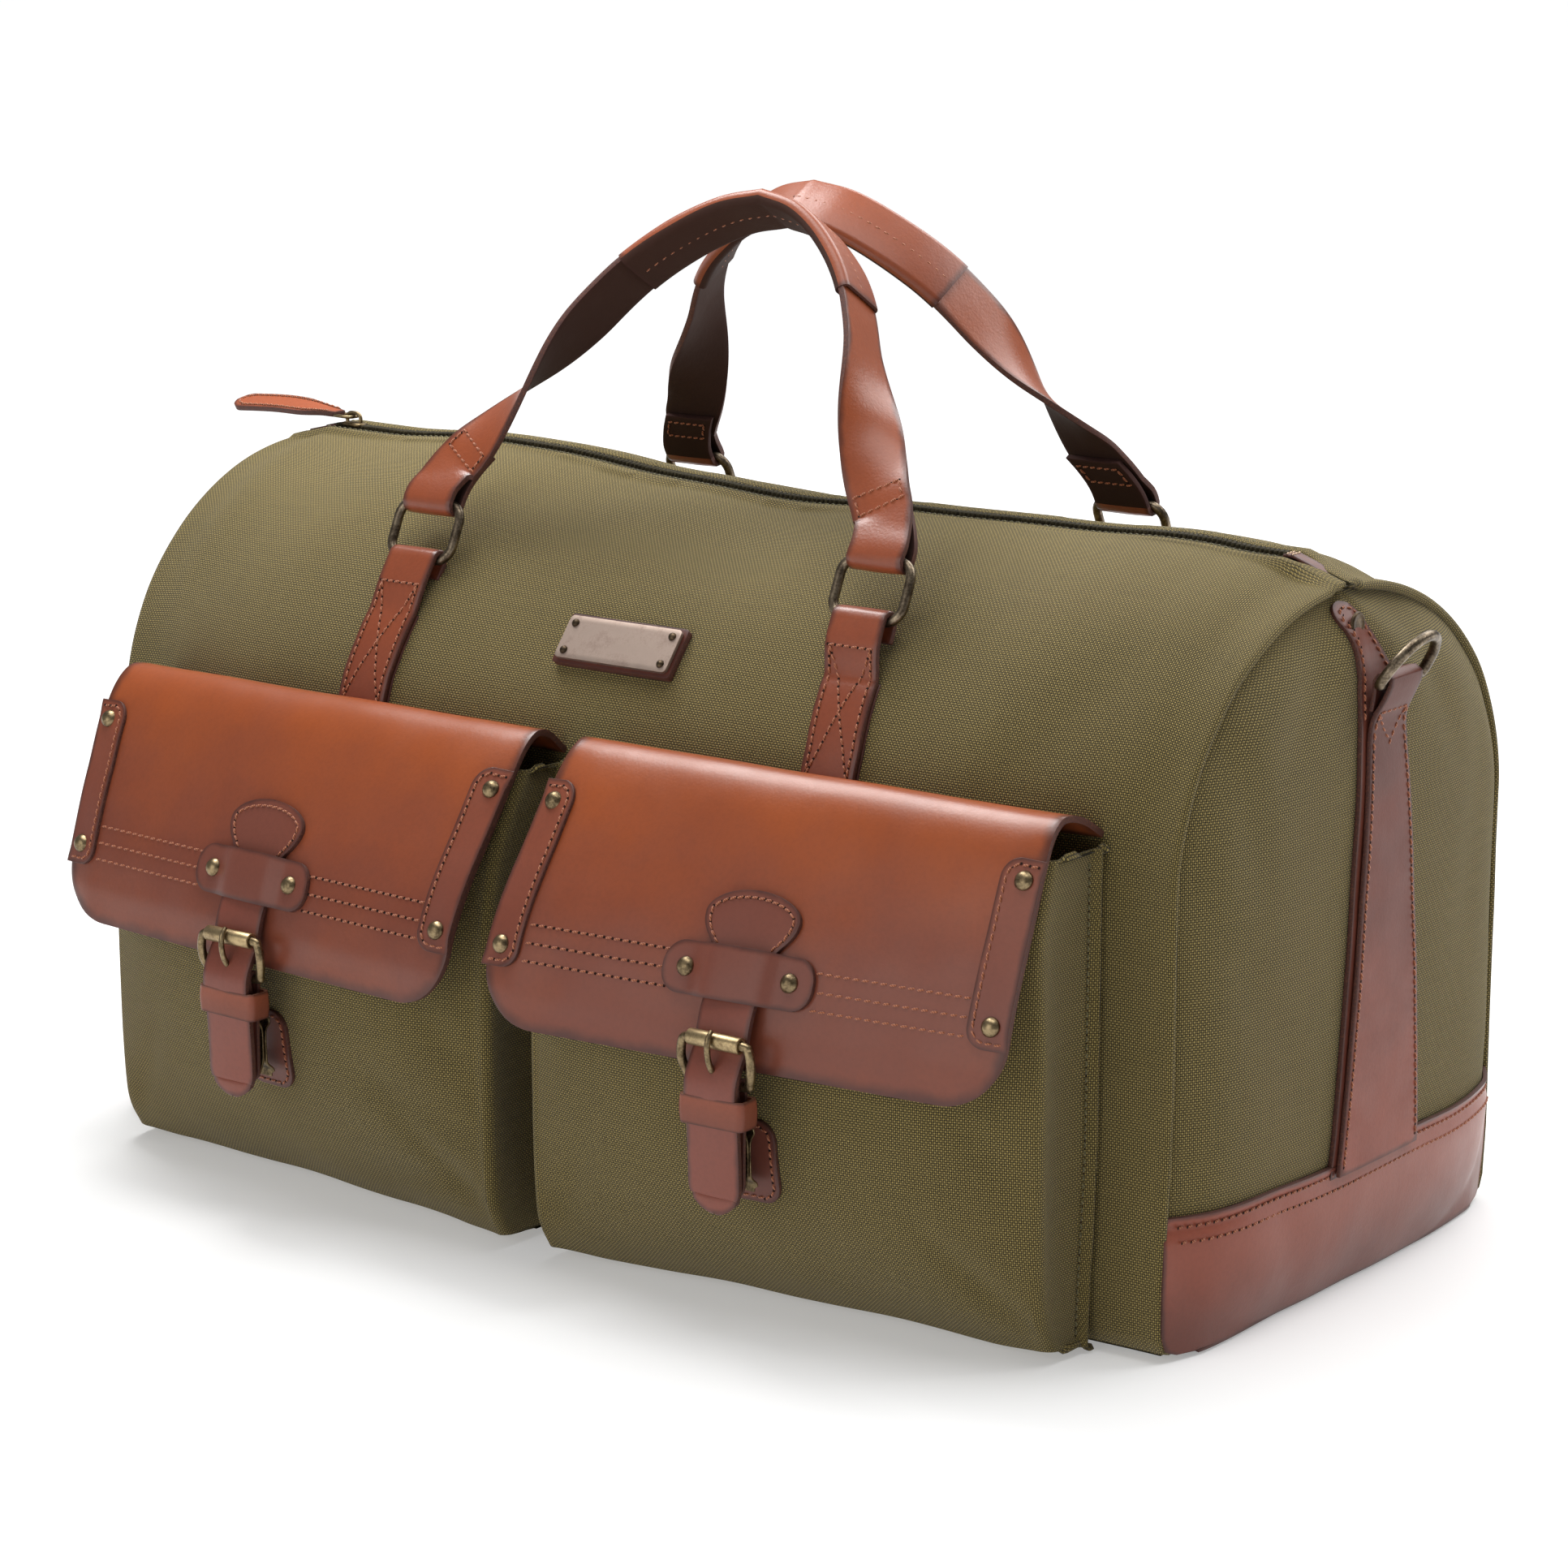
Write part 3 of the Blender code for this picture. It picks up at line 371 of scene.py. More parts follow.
# Each leather: its colours high up and low down, the two heights (mm), roughness, grain, the width of
# its burnished edge (mm) and its coat.
LEATHERS = {
    "flap_leather": ((0.31, 0.068, 0.016), (0.182, 0.046, 0.024), 150, 236, 0.36, 0.9, 6, 0.22),
    "strip_leather": ((0.215, 0.053, 0.025), (0.165, 0.042, 0.024), 140, 215, 0.42, 0.8, 2.5, 0.2),
    "dark_leather": ((0.165, 0.045, 0.027), (0.148, 0.041, 0.026), 60, 190, 0.44, 0.9, 2.5, 0.2),
    "tongue_leather": ((0.18, 0.046, 0.028), (0.215, 0.056, 0.034), 55, 150, 0.42, 1.0, 2.5, 0.2),
    "strap_leather": ((0.30, 0.068, 0.020), (0.21, 0.048, 0.020), 225, 430, 0.35, 1.9, 3.5, 0.32),
    "grip_leather": ((0.29, 0.068, 0.023), (0.19, 0.047, 0.022), 360, 455, 0.38, 1.6, 4, 0.2),
    # painted_shade_leather is painted shade: a near-black brown for the handles' inner faces, the grips'
    # undersides and the rear handles' fold tails.
    "painted_shade_leather": ((0.040, 0.014, 0.008), (0.026, 0.009, 0.005), 300, 430, 0.85, 1.6, 2, 0.0),
    # end_leather's low colour is the lighter one: painted sheen on the lower end straps.
    "end_leather": ((0.105, 0.024, 0.013), (0.26, 0.065, 0.038), 20, 250, 0.48, 1.0, 3, 0.04),
    "base_leather": ((0.27, 0.067, 0.037), (0.15, 0.039, 0.023), 2, 50, 0.36, 1.1, 2.5, 0.15),
    "loop_leather": ((0.25, 0.064, 0.030), (0.18, 0.048, 0.026), 92, 108, 0.5, 1.4, 1.4, 0.15),
    "tan_leather": ((0.34, 0.080, 0.028), (0.25, 0.060, 0.026), 290, 330, 0.38, 0.9, 2.5, 0.25),
}
HIDES = [leather_material(name, *facts) for name, facts in LEATHERS.items()]
FLAP_LEATHER, STRIP_LEATHER, DARK_LEATHER, TONGUE_LEATHER, STRAP_LEATHER, GRIP_LEATHER = HIDES[:6]
PAINTED_SHADE_LEATHER, END_LEATHER, BASE_LEATHER, LOOP_LEATHER, TAN_LEATHER = HIDES[6:]
CUT_EDGE = edge_material("cut_edge", (0.060, 0.018, 0.013), (0.16, 0.055, 0.03))
RAW_EDGE = edge_material("raw_edge", (0.16, 0.052, 0.026), (0.42, 0.22, 0.12))
RUST_THREAD = thread_material("rust_thread", (0.44, 0.145, 0.055), (0.20, 0.05, 0.02))
OLIVE_THREAD = thread_material("olive_thread", (0.16, 0.14, 0.05), (0.07, 0.06, 0.02))
PALE_THREAD = thread_material("pale_thread", (0.72, 0.52, 0.34), (0.45, 0.28, 0.15))
# Near-black painted shade for needle holes and the prong's slot.
HOLE_SHADE = plain_material("painted_hole_shade", (0.012, 0.005, 0.004), (0.03, 0.012, 0.008), 900, 0.8)
BRASS = metal_material("antique_brass", (0.30, 0.225, 0.125), (0.085, 0.060, 0.034), 0.34, 0.53)
RING_METAL = metal_material("ring_bronze", (0.27, 0.215, 0.15), (0.07, 0.052, 0.036), 0.34, 0.50)
CAP_METAL = metal_material("dull_cap", (0.15, 0.105, 0.065), (0.05, 0.035, 0.022), 0.42, 0.48)
ROLLER_BRASS = metal_material(
    "brushed_brass", (0.46, 0.35, 0.19), (0.20, 0.14, 0.075), 0.36, 0.6, (0.05, 1.0, 1.0)
)
DARK_BRASS = metal_material("dark_brass", (0.23, 0.17, 0.09), (0.05, 0.035, 0.02), 0.38, 0.5)
PLATE_METAL = metal_material("aged_copper_plate", (0.40, 0.31, 0.26), (0.29, 0.215, 0.18), 0.50, 0.62)
TEETH = plain_material("zip_teeth", (0.020, 0.016, 0.008), (0.055, 0.045, 0.022), 700, 0.6)
BOARD = plain_material("base_board", (0.035, 0.032, 0.03), (0.07, 0.065, 0.06), 260, 0.8)


# Meshes.


def finish(name, mesh, materials, body, replaces, slot):
    """Makes the object, gives it its materials and sets it on its body."""
    for material in materials:
        mesh.materials.append(material)
    mesh.polygons.foreach_set("use_smooth", [True] * len(mesh.polygons))
    piece = bpy.data.objects.new(name, mesh)
    bpy.context.scene.collection.objects.link(piece)
    if body:
        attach(piece, body)
    if replaces:
        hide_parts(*replaces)
    return piece


def running_lengths(points):
    """Distance along the points from the first one."""
    lengths = [0.0]
    for a, b in zip(points, points[1:]):
        lengths.append(lengths[-1] + (b - a).length)
    return lengths


def sheet(
    name, rows, thickness, materials, body, replaces=(), slot=None, wrap=False, offset=-1.0, bevel=0.45 * MM
):
    """A sheet over the rows of points, seen from the side that width x length points to, made this thick.

    The materials are the face's, the cut edge's and, if it differs from the face, the back's."""
    columns = len(rows[0])
    mesh = bpy.data.meshes.new(name)
    faces = []
    for i in range(len(rows) - 1):
        for k in range(columns if wrap else columns - 1):
            after = (k + 1) % columns
            low, high = i * columns, (i + 1) * columns
            faces.append((low + k, low + after, high + after, high + k))
    mesh.from_pydata([p for row in rows for p in row], [], faces)
    add_cloth_map(mesh, rows, wrap)
    add_rim(mesh, rows, wrap)
    piece = finish(name, mesh, materials, body, replaces, slot)
    if thickness:
        shell = piece.modifiers.new("thickness", "SOLIDIFY")
        shell.thickness = thickness
        shell.offset = offset
        shell.material_offset_rim = min(1, len(materials) - 1)
        shell.material_offset = 2 if len(materials) > 2 else 0
        if bevel:
            edge = piece.modifiers.new("soft_edge", "BEVEL")
            edge.width = bevel
            edge.segments = 2
            edge.limit_method = "ANGLE"
            edge.angle_limit = radians(50)
    return piece


def add_cloth_map(mesh, rows, wrap):
    """A map in metres that runs along the threads, measured from the middle column."""
    middle = len(rows[0]) // 2
    upward = running_lengths([row[middle] for row in rows])
    across = []
    for row in rows:
        lengths = running_lengths(row + row[:1] if wrap else row)
        across.append([at - lengths[middle] for at in lengths])
    columns = len(rows[0])
    layer = mesh.uv_layers.new(name="cloth")
    for face in mesh.polygons:
        corners = [(divmod(v, columns)) for v in face.vertices]
        seam = wrap and {k for _, k in corners} == {0, columns - 1}
        for loop, (i, k) in zip(face.loop_indices, corners):
            column = columns if seam and k == 0 else k
            layer.data[loop].uv = (across[i][column], upward[i])


def add_rim(mesh, rows, wrap):
    """Stores every point's distance to the nearest open edge."""
    edge = [p for p in rows[0]] + [p for p in rows[-1]]
    if not wrap:
        edge += [row[0] for row in rows] + [row[-1] for row in rows]
    tree = KDTree(len(edge))
    for k, place in enumerate(edge):
        tree.insert(place, k)
    tree.balance()
    stored = mesh.attributes.new("rim", "FLOAT", "POINT")
    stored.data.foreach_set("value", [tree.find(p)[2] for row in rows for p in row])


class Strip:
    """A ribbon along a path, with a width direction at every station; its face is width x path."""

    def __init__(self, stations, half):
        self.points = [Vector(p) for p, _ in stations]
        self.widths = [Vector(w).normalized() for _, w in stations]
        self.lengths = running_lengths(self.points)
        self.length = self.lengths[-1]
        self.half = half if callable(half) else lambda _: half

    def station(self, along):
        along = min(max(along, 0.0), self.length)
        k = 0
        while k < len(self.lengths) - 2 and self.lengths[k + 1] < along:
            k += 1
        run = self.lengths[k + 1] - self.lengths[k]
        t = (along - self.lengths[k]) / run if run else 0.0
        place = self.points[k].lerp(self.points[k + 1], t)
        width = self.widths[k].lerp(self.widths[k + 1], t).normalized()
        before, after = self.points[max(k - 1, 0)], self.points[min(k + 2, len(self.points) - 1)]
        return place, width, width.cross(after - before).normalized()

    def at(self, across, along, lift=0.0):
        """The point this far across from the middle and along from the start, lifted off the face."""
        place, width, normal = self.station(along)
        return place + width * across + normal * lift

    def face(self, rise):
        """The ribbon's surface raised by this much, as stitch and rivet want it."""
        return lambda across, along, lift: self.at(across, along, rise + lift)

    def rows(self, alongs, columns, crown=0.0):
        made = []
        for along in alongs:
            half = self.half(along)
            row = [self.at(u * half, along, crown * (1 - u * u)) for u in spread(-1, 1, columns)]
            made.append(row)
        return made


def round_end(half, radius, low, high):
    """Half width of a ribbon whose ends at low and high are rounded off; a radius of 0 leaves one square."""

    def width(along):
        wide = half(along) if callable(half) else half
        for left, r in ((along - low, radius[0]), (high - along, radius[1])):
            if r and left < r:
                wide = wide - r + sqrt(max(0.0, r * r - (r - left) ** 2))
        return max(wide, 0.25 * MM)

    return width


def stops(low, high, step, fine=0.0):
    """Positions from low to high, closer together within `fine` of both ends."""
    count = max(2, round((high - low) / step) + 1)
    places = spread(low, high, count)
    if fine:
        ends = [fine * (1 - cos(pi / 2 * t)) for t in spread(0, 1, 9)]
        places = [p for p in places if low + fine < p < high - fine]
        places = [low + e for e in ends] + places + [high - e for e in reversed(ends)]
    return places


class Bin:
    """Small parts of one kind on one body, gathered into one mesh."""

    def __init__(self):
        self.points, self.faces, self.kinds = [], [], []

    def add(self, points, faces, kind=0):
        start = len(self.points)
        self.points += points
        self.faces += [tuple(start + k for k in face) for face in faces]
        self.kinds += [kind] * len(faces)


THREADS = {
    "rust": (RUST_THREAD, 0.48 * MM, 3.3 * MM, 4.4 * MM),
    "olive": (OLIVE_THREAD, 0.34 * MM, 2.2 * MM, 3.4 * MM),
    "pale": (PALE_THREAD, 0.40 * MM, 2.7 * MM, 3.6 * MM),
}
STITCHES = {}
RIVETS = {}


def frame_of(normal, hint):
    """Two directions across a normal, the first one near the hint."""
    side = (hint - normal * hint.dot(normal)).normalized()
    return side, normal.cross(side)


def stitch(surface, corners, body, thread="rust", pitch=None):
    """A line of stitches along a polyline in a surface's own two coordinates."""
    _, radius, length, usual = THREADS[thread]
    pitch = pitch or usual
    line = [(surface(a, b, 0.0), surface(a, b, MM)) for a, b in dense(corners, 1.5 * MM)]
    lengths = running_lengths([p for p, _ in line])
    count = max(1, round(lengths[-1] / pitch))
    bin_ = STITCHES.setdefault((body, thread), Bin())
    k = 0
    for n in range(count):
        at = (n + 0.5) * lengths[-1] / count
        while k < len(lengths) - 2 and lengths[k + 1] < at:
            k += 1
        t = (at - lengths[k]) / max(lengths[k + 1] - lengths[k], 1e-9)
        place = line[k][0].lerp(line[k + 1][0], t)
        normal = (line[k][1].lerp(line[k + 1][1], t) - place).normalized()
        along, side = frame_of(normal, line[k + 1][0] - line[k][0])
        add_stitch(bin_, place, along, side, normal, radius, length, lengths[-1] / count)


def add_stitch(bin_, place, along, side, normal, radius, length, pitch):
    """One slanting bead of thread and, before it, a dark disc of painted shade for its needle hole."""
    slant = (along + side * 0.16).normalized()
    points = []
    for part, rise, swell in (
        (-0.5, -0.5, 0.6), (-0.3, 0.25, 1), (0, 0.6, 1.1), (0.3, 0.25, 1), (0.5, -0.5, 0.6)
    ):
        centre = place + slant * (part * length) + normal * (rise * radius)
        for a in spread(0, tau, 7)[:-1]:
            points.append(centre + (side * cos(a) + normal * sin(a)) * radius * swell)
    faces = []
    for ring in range(4):
        for k in range(6):
            after = (k + 1) % 6
            faces.append((ring * 6 + k, ring * 6 + after, ring * 6 + 6 + after, ring * 6 + 6 + k))
    faces += [tuple(range(5, -1, -1)), tuple(range(24, 30))]
    bin_.add(points, faces)
    # The needle hole is a dark disc: painted shade in the hole.
    hole = place - along * (pitch / 2) + normal * (0.05 * MM)
    disc = [hole + (along * cos(a) + side * sin(a) * 0.9) * radius * 1.45 for a in spread(0, tau, 9)[:-1]]
    bin_.add(disc, [tuple(range(8))], 1)


def sew_up():
    """Makes one object of every body's stitches in each thread."""
    for (body, thread), bin_ in STITCHES.items():
        make_bin(f"{body}_{thread}_stitches", bin_, [THREADS[thread][0], HOLE_SHADE], body)
    metals = {"rivets": BRASS, "pins": CAP_METAL, "caps": CAP_METAL}
    for (body, kind), bin_ in RIVETS.items():
        make_bin(f"{body}_{kind}", bin_, [metals[kind]], body, "brass")


def make_bin(name, bin_, materials, body, slot=None):
    """Makes one object of a gathered bin."""
    mesh = bpy.data.meshes.new(name)
    mesh.from_pydata(bin_.points, [], bin_.faces)
    mesh.polygons.foreach_set("material_index", bin_.kinds)
    return finish(name, mesh, materials, body, (), slot)


def lathe(bin_, place, axis, profile, segments=20):
    """A turned shape on an axis; the profile is (radius, height) pairs from the rim to the middle."""
    across, other = frame_of(axis, Vector((0.3, 0.5, 0.81)) if abs(axis.z) < 0.8 else Vector((1, 0, 0)))
    points = []
    for radius, height in profile:
        for a in spread(0, tau, segments + 1)[:-1]:
            points.append(place + axis * height + (across * cos(a) + other * sin(a)) * radius)
    faces = []
    for ring in range(len(profile) - 1):
        for k in range(segments):
            after = (k + 1) % segments
            low, high = ring * segments, (ring + 1) * segments
            faces.append((low + k, low + after, high + after, high + k))
    bin_.add(points, faces)


DOME = [
    (4.1, -0.6), (4.15, 0.3), (3.9, 0.75), (3.5, 1.35), (2.8, 2.05), (1.9, 2.5), (1.0, 2.72), (0.05, 2.78)
]
FLAT_CAP = [(5.2, -0.4), (5.2, 0.5), (4.8, 0.9), (4.2, 1.0), (3.9, 0.75), (2.0, 0.75), (0.05, 0.8)]
PIN = [(1.9, -0.3), (1.9, 0.3), (1.6, 0.8), (1.0, 1.15), (0.05, 1.3)]


def rivet(surface, a, b, body, profile=DOME, kind="rivets"):
    """A rivet standing on a surface at its coordinates (a, b)."""
    place = surface(a, b, 0.0)
    axis = (surface(a, b, MM) - place).normalized()
    lathe(RIVETS.setdefault((body, kind), Bin()), place, axis, [(r * MM, h * MM) for r, h in profile])


def wire(name, points, radius, material, body, replaces=(), cyclic=False, radii=None):
    """A round bent wire through the points."""
    curve = bpy.data.curves.new(name, "CURVE")
    curve.dimensions = "3D"
    curve.bevel_depth = radius
    curve.bevel_resolution = 4
    curve.use_fill_caps = True
    spline = curve.splines.new("POLY")
    spline.points.add(len(points) - 1)
    for k, (knot, place) in enumerate(zip(spline.points, points)):
        knot.co = (*place, 1)
        knot.radius = radii[k] if radii else 1.0
    spline.use_cyclic_u = cyclic
    spline.use_smooth = True
    curve.materials.append(material)
    piece = bpy.data.objects.new(name, curve)
    bpy.context.scene.collection.objects.link(piece)
    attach(piece, body)
    if replaces:
        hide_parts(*replaces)
    return piece


# The stuffed canvas body.

HALF_LENGTH = 300 * MM
HALF_DEPTH = 142 * MM
SPRING_Z = 190 * MM
ROOF = [(-300 * MM, 313 * MM), (-270 * MM, 320 * MM), (270 * MM, 311 * MM), (300 * MM, 300 * MM)]
RIDGE = soft_table(
    [(-0.3, 0), (-0.245, 0), (-0.218, 0.0004), (-0.176, 0.0034), (-0.126, 0.0032), (-0.077, -0.0014),
     (-0.029, -0.0026), (0.018, -0.0052), (0.071, -0.0028), (0.128, -0.0010), (0.170, -0.0008),
     (0.207, 0.0017), (0.231, 0.0016), (0.252, 0.0001), (0.3, 0)]
)
ZIP_SWAY = soft_table(
    [(-0.3, 0), (-0.235, 0), (-0.2, 0.0018), (-0.14, -0.0026), (-0.085, 0.0016), (-0.02, -0.0030),
     (0.045, 0.0030), (0.11, -0.0016), (0.165, 0.0026), (0.21, -0.0012), (0.245, 0), (0.3, 0)]
)
END_TOP = {-1: 313 * MM, 1: 300 * MM}
BASE_HEIGHT = 60 * MM
LIP = 5.4 * MM
FOLD = 2.2 * MM
SEAM = 292.5 * MM
END_BULGE = 12 * MM
WALL_FOOT = [
    (0.120, 0.0012), (0.131, 0.0012), (0.1375, 0.0035), (0.1405, 0.010), (0.142, 0.030), (0.142, 0.06)
]


def roof_z(x):
    """Height of the zip line above the ground at x."""
    return between(ROOF, x)


def taper(x, side=-1, z=SPRING_Z):
    """How much closer to the middle the front wall comes towards the bag's ends, less so at its foot."""
    if side > 0:
        return 1.0
    return 1 - 0.082 * ease((abs(x) - 0.19) / 0.105) * (0.45 + 0.55 * ease(z / 0.1))


def crease(x, z, start, end, width, depth):
    """A soft valley along the segment from start to end, fading towards its ends."""
    a, b, p = Vector(start), Vector(end), Vector((x, z))
    run = b - a
    t = (p - a).dot(run) / run.length_squared
    inside = min(1.0, max(0.0, t))
    away = (p - (a + run * inside)).length
    fade = sin(pi * min(1.0, max(0.0, 0.12 + 0.76 * inside)))
    return -depth * exp(-((away / width) ** 2)) * fade


# Creases: start, end, width and depth (mm).
WALL_CREASES = [
    ((0.27, 0.30), (0.20, 0.215), 0.016, 1.6), ((0.285, 0.255), (0.25, 0.10), 0.014, 1.5),
    ((-0.285, 0.27), (-0.25, 0.12), 0.016, 1.3),
]
END_CREASES = [
    ((-0.125, 0.205), (-0.06, 0.10), 0.012, 1.3), ((-0.10, 0.265), (-0.085, 0.17), 0.011, 1.6),
    ((0.10, 0.25), (0.085, 0.13), 0.013, 1.4), ((-0.02, 0.288), (-0.07, 0.235), 0.009, 1.5),
    ((0.035, 0.282), (0.075, 0.22), 0.010, 1.5),
]
BAND_CREASES = [((-0.075, 0.056), (-0.05, 0.012), 0.013, 1.2)]
POCKET_CREASES = [
    ((0.121, 0.012), (0.075, 0.055), 0.007, 2.2), ((-0.119, 0.010), (-0.085, 0.065), 0.007, 1.8),
    ((0.117, 0.075), (0.082, 0.12), 0.008, 1.3),
]
LEFT_POCKET_CREASES = [((0.118, 0.03), (0.04, 0.02), 0.008, 2.0), ((0.112, 0.05), (0.05, 0.075), 0.009, 1.4)]


def creases(table, x, z):
    """All the creases of a table together."""
    return sum(crease(x, z, start, end, width, depth * MM) for start, end, width, depth in table)


def puff(side, x, z):
    """How far the canvas of a long wall stands off its plain shape: soft swells, and valleys at the ends."""
    edge = ease((SEAM - abs(x)) / 0.045) * ease(z / 0.05)
    rise = (z - SPRING_Z) / (roof_z(x) - SPRING_Z)
    swell = 1.7 * rough(x, side, z, 0.13) + 0.55 * rough(x, side + 3, z * 1.3, 0.045)
    swell += 0.9 * sin(x / 0.036 + 2.5 * side) * ease((rise - 0.55) / 0.4) * rough(x, 5 * side, 0, 0.1)
    depth = swell * MM * edge
    high = ease((rise - 0.45) / 0.5)
    dip = 5.5 if side > 0 else 3.6
    depth -= dip * MM * hump(x, 0.276, 0.013) * high
    depth -= 2.2 * MM * hump(x, -0.280, 0.012) * high
    depth += 1.8 * MM * hump(x, 0.256, 0.018) * high * ease((0.99 - rise) / 0.2)
    return depth + creases(WALL_CREASES, x, z)


def wall_base(side, x, z):
    """Half depth and slope of a long wall's plain shape at height z."""
    narrow = taper(x, side, z)
    if z <= SPRING_Z:
        return between([(h, d) for d, h in WALL_FOOT], z) * narrow, 0.0
    rise = min(0.9995, (z - SPRING_Z) / (roof_z(x) - SPRING_Z))
    level = sqrt(1 - rise * rise)
    return HALF_DEPTH * narrow * level, -HALF_DEPTH * rise / (level * (roof_z(x) - SPRING_Z))


def wall_at(side, x, z, lift=0.0):
    """A point on a long wall at (x, z), lifted off the canvas."""
    depth, slope = wall_base(side, x, z)
    out = Vector((0, side, -slope)).normalized()
    rise = ease((z - SPRING_Z - 0.06) / (roof_z(x) - SPRING_Z - 0.06))
    ridge = between(RIDGE, x) * rise
    return Vector((x, side * depth, z + ridge)) + out * (puff(side, x, z) + lift)


def front_wall(x, z, lift=0.0):
    """A point on the front wall."""
    return wall_at(-1, x, z, lift)


def zip_line(x):
    """The middle of the zip at x, which wanders a little between its ends."""
    return Vector((x, between(ZIP_SWAY, x), roof_z(x) + between(RIDGE, x)))


def wall_heights():
    """Heights up a wall as parts of the roof's rise, negative ones being plain heights in metres."""
    low = [-h for h in (0.018, 0.025, 0.033, 0.042)] + [-h for h in spread(0.052, SPRING_Z, 28)]
    return low + [sin(radians(a)) for a in spread(2.2, 84, 40)]


def wall_column(side, x, close):
    """The canvas from under the bag up to its folded lip by the zip; close brings the lip to the middle."""
    column = [Vector((x, side * depth * taper(x, side, 0), height)) for depth, height in WALL_FOOT[:4]]
    for part in wall_heights():
        z = -part if part < 0 else SPRING_Z + part * (roof_z(x) - SPRING_Z)
        column.append(wall_at(side, x, z))
    middle = zip_line(x)
    gap = LIP + (0.4 * MM - LIP) * close
    last = column[-1]
    for out, up in (
        (9.5, 0.9), (7.0, 1.3), (4.6, 1.5), (2.4, 1.4), (0.8, 0.9), (0.0, 0.1), (0.4, -0.9), (2.0, -1.6)
    ):
        y = middle.y * (1 - close) + side * (gap + out * MM)
        if abs(y) < abs(last.y) - 1 * MM:
            up -= 1.1 * (1 - close) if side < 0 else 0.0
            column.append(Vector((x, y, middle.z + up * MM * (1 - 0.6 * close))))
    return column


def wall_panel(name, side, node, spare=()):
    """A long wall whose ends fold round a seam that stands proud of the end panel."""
    flat = sorted(set(spread(-SEAM, SEAM, 151) + [-0.2905, 0.2905]))
    columns = []
    for x in flat:
        close = ease((x - 0.271) / 0.012) + ease((-0.283 - x) / 0.008)
        columns.append(wall_column(side, x, close))
    columns = [folded(side, columns[0], -1, a) for a in (180, 150, 120, 90, 60, 30)] + columns
    columns += [folded(side, columns[-1], 1, a) for a in (30, 60, 90, 120, 150, 180)]
    if side > 0:
        columns.reverse()
    rows = [list(row) for row in zip(*columns)]
    return sheet(name, rows, 1.6 * MM, [CANVAS, SHADED_CANVAS], "root", (node, *spare), "canvas", bevel=0)


def folded(side, column, end, angle):
    """A wall's edge column turned in round its end seam by an angle."""
    turn = radians(angle)
    made = []
    for k, place in enumerate(column):
        before, after = column[max(k - 1, 0)], column[min(k + 1, len(column) - 1)]
        run = after - before
        inward = Vector((0, -side * run.z, side * run.y)).normalized()
        wander = 0.4 * MM * rough(place.x, place.y, place.z, 0.03)
        out = FOLD * sin(turn) if angle <= 90 else FOLD * (2 * sin(turn) - 1)
        made.append(place + inward * FOLD * (1 - cos(turn)) + Vector((end * (out + wander), 0, 0)))
    return made


def end_base_x(y, z, top):
    """How far out a padded-out end panel lies at (y, z)."""
    half = HALF_DEPTH * taper(SEAM, y, z)
    if z > SPRING_Z:
        across = hypot(y / half, (z - SPRING_Z) / (top - SPRING_Z))
        down = 0.0
    else:
        across = abs(y) / half
        down = max(0.0, (0.12 - z) / 0.12)
    drawn = (HALF_LENGTH - SEAM) * min(1.0, across**6)
    return HALF_LENGTH - drawn + END_BULGE * (1 - min(1.0, across**4 + down**4)), across


def end_at(side, y, z, lift=0.0):
    """A point on an end panel: padded out in the middle, drawn in at the seam and puckered under the zip."""
    top = END_TOP[side]
    x, across = end_base_x(y, z, top)
    x -= 2.6 * MM * ease((across - 0.80) / 0.2)
    x += (1.3 * rough(side, y, z, 0.09) + 0.4 * rough(side, y, z, 0.03)) * MM
    away = hypot(y, z - top)
    angle = atan2(y, top - z)
    x -= 2.6 * MM * hump(away, 0.034, 0.030) * (0.5 + 0.5 * sin(5.2 * angle + 0.8 * side))
    x += creases(END_CREASES, y, z)
    return Vector((side * (x + lift), y, z))


def end_half_width(z, top, hand):
    """Depth of an end at height z towards its front (hand -1) or its back."""
    narrow = taper(SEAM, hand, z)
    if z > SPRING_Z:
        return HALF_DEPTH * narrow * sqrt(max(0.0, 1 - ((z - SPRING_Z) / (top - SPRING_Z)) ** 2))
    return between([(h, d) for d, h in WALL_FOOT], z) * narrow


def end_across(u, z, top):
    """How far across an end a share u from -1 at the front to 1 at the back lies."""
    return u * (end_half_width(z, top, u) - 0.9 * MM)


def end_panel(side):
    """The canvas of one end of the bag."""
    top = END_TOP[side]
    heights = spread(2 * MM, SPRING_Z, 44)
    heights += [SPRING_Z + (top - SPRING_Z) * sin(radians(a)) for a in spread(2.5, 86, 34)]
    rows = []
    for z in heights:
        rows.append([end_at(side, end_across(side * u, z, top), z) for u in spread(-1, 1, 61)])
    word = WORDS[side]
    node = (f"{word}_end_panel",)
    sheet(f"{word}_end_canvas", rows, 1.6 * MM, [CANVAS, SHADED_CANVAS], "root", node, "canvas", bevel=0)


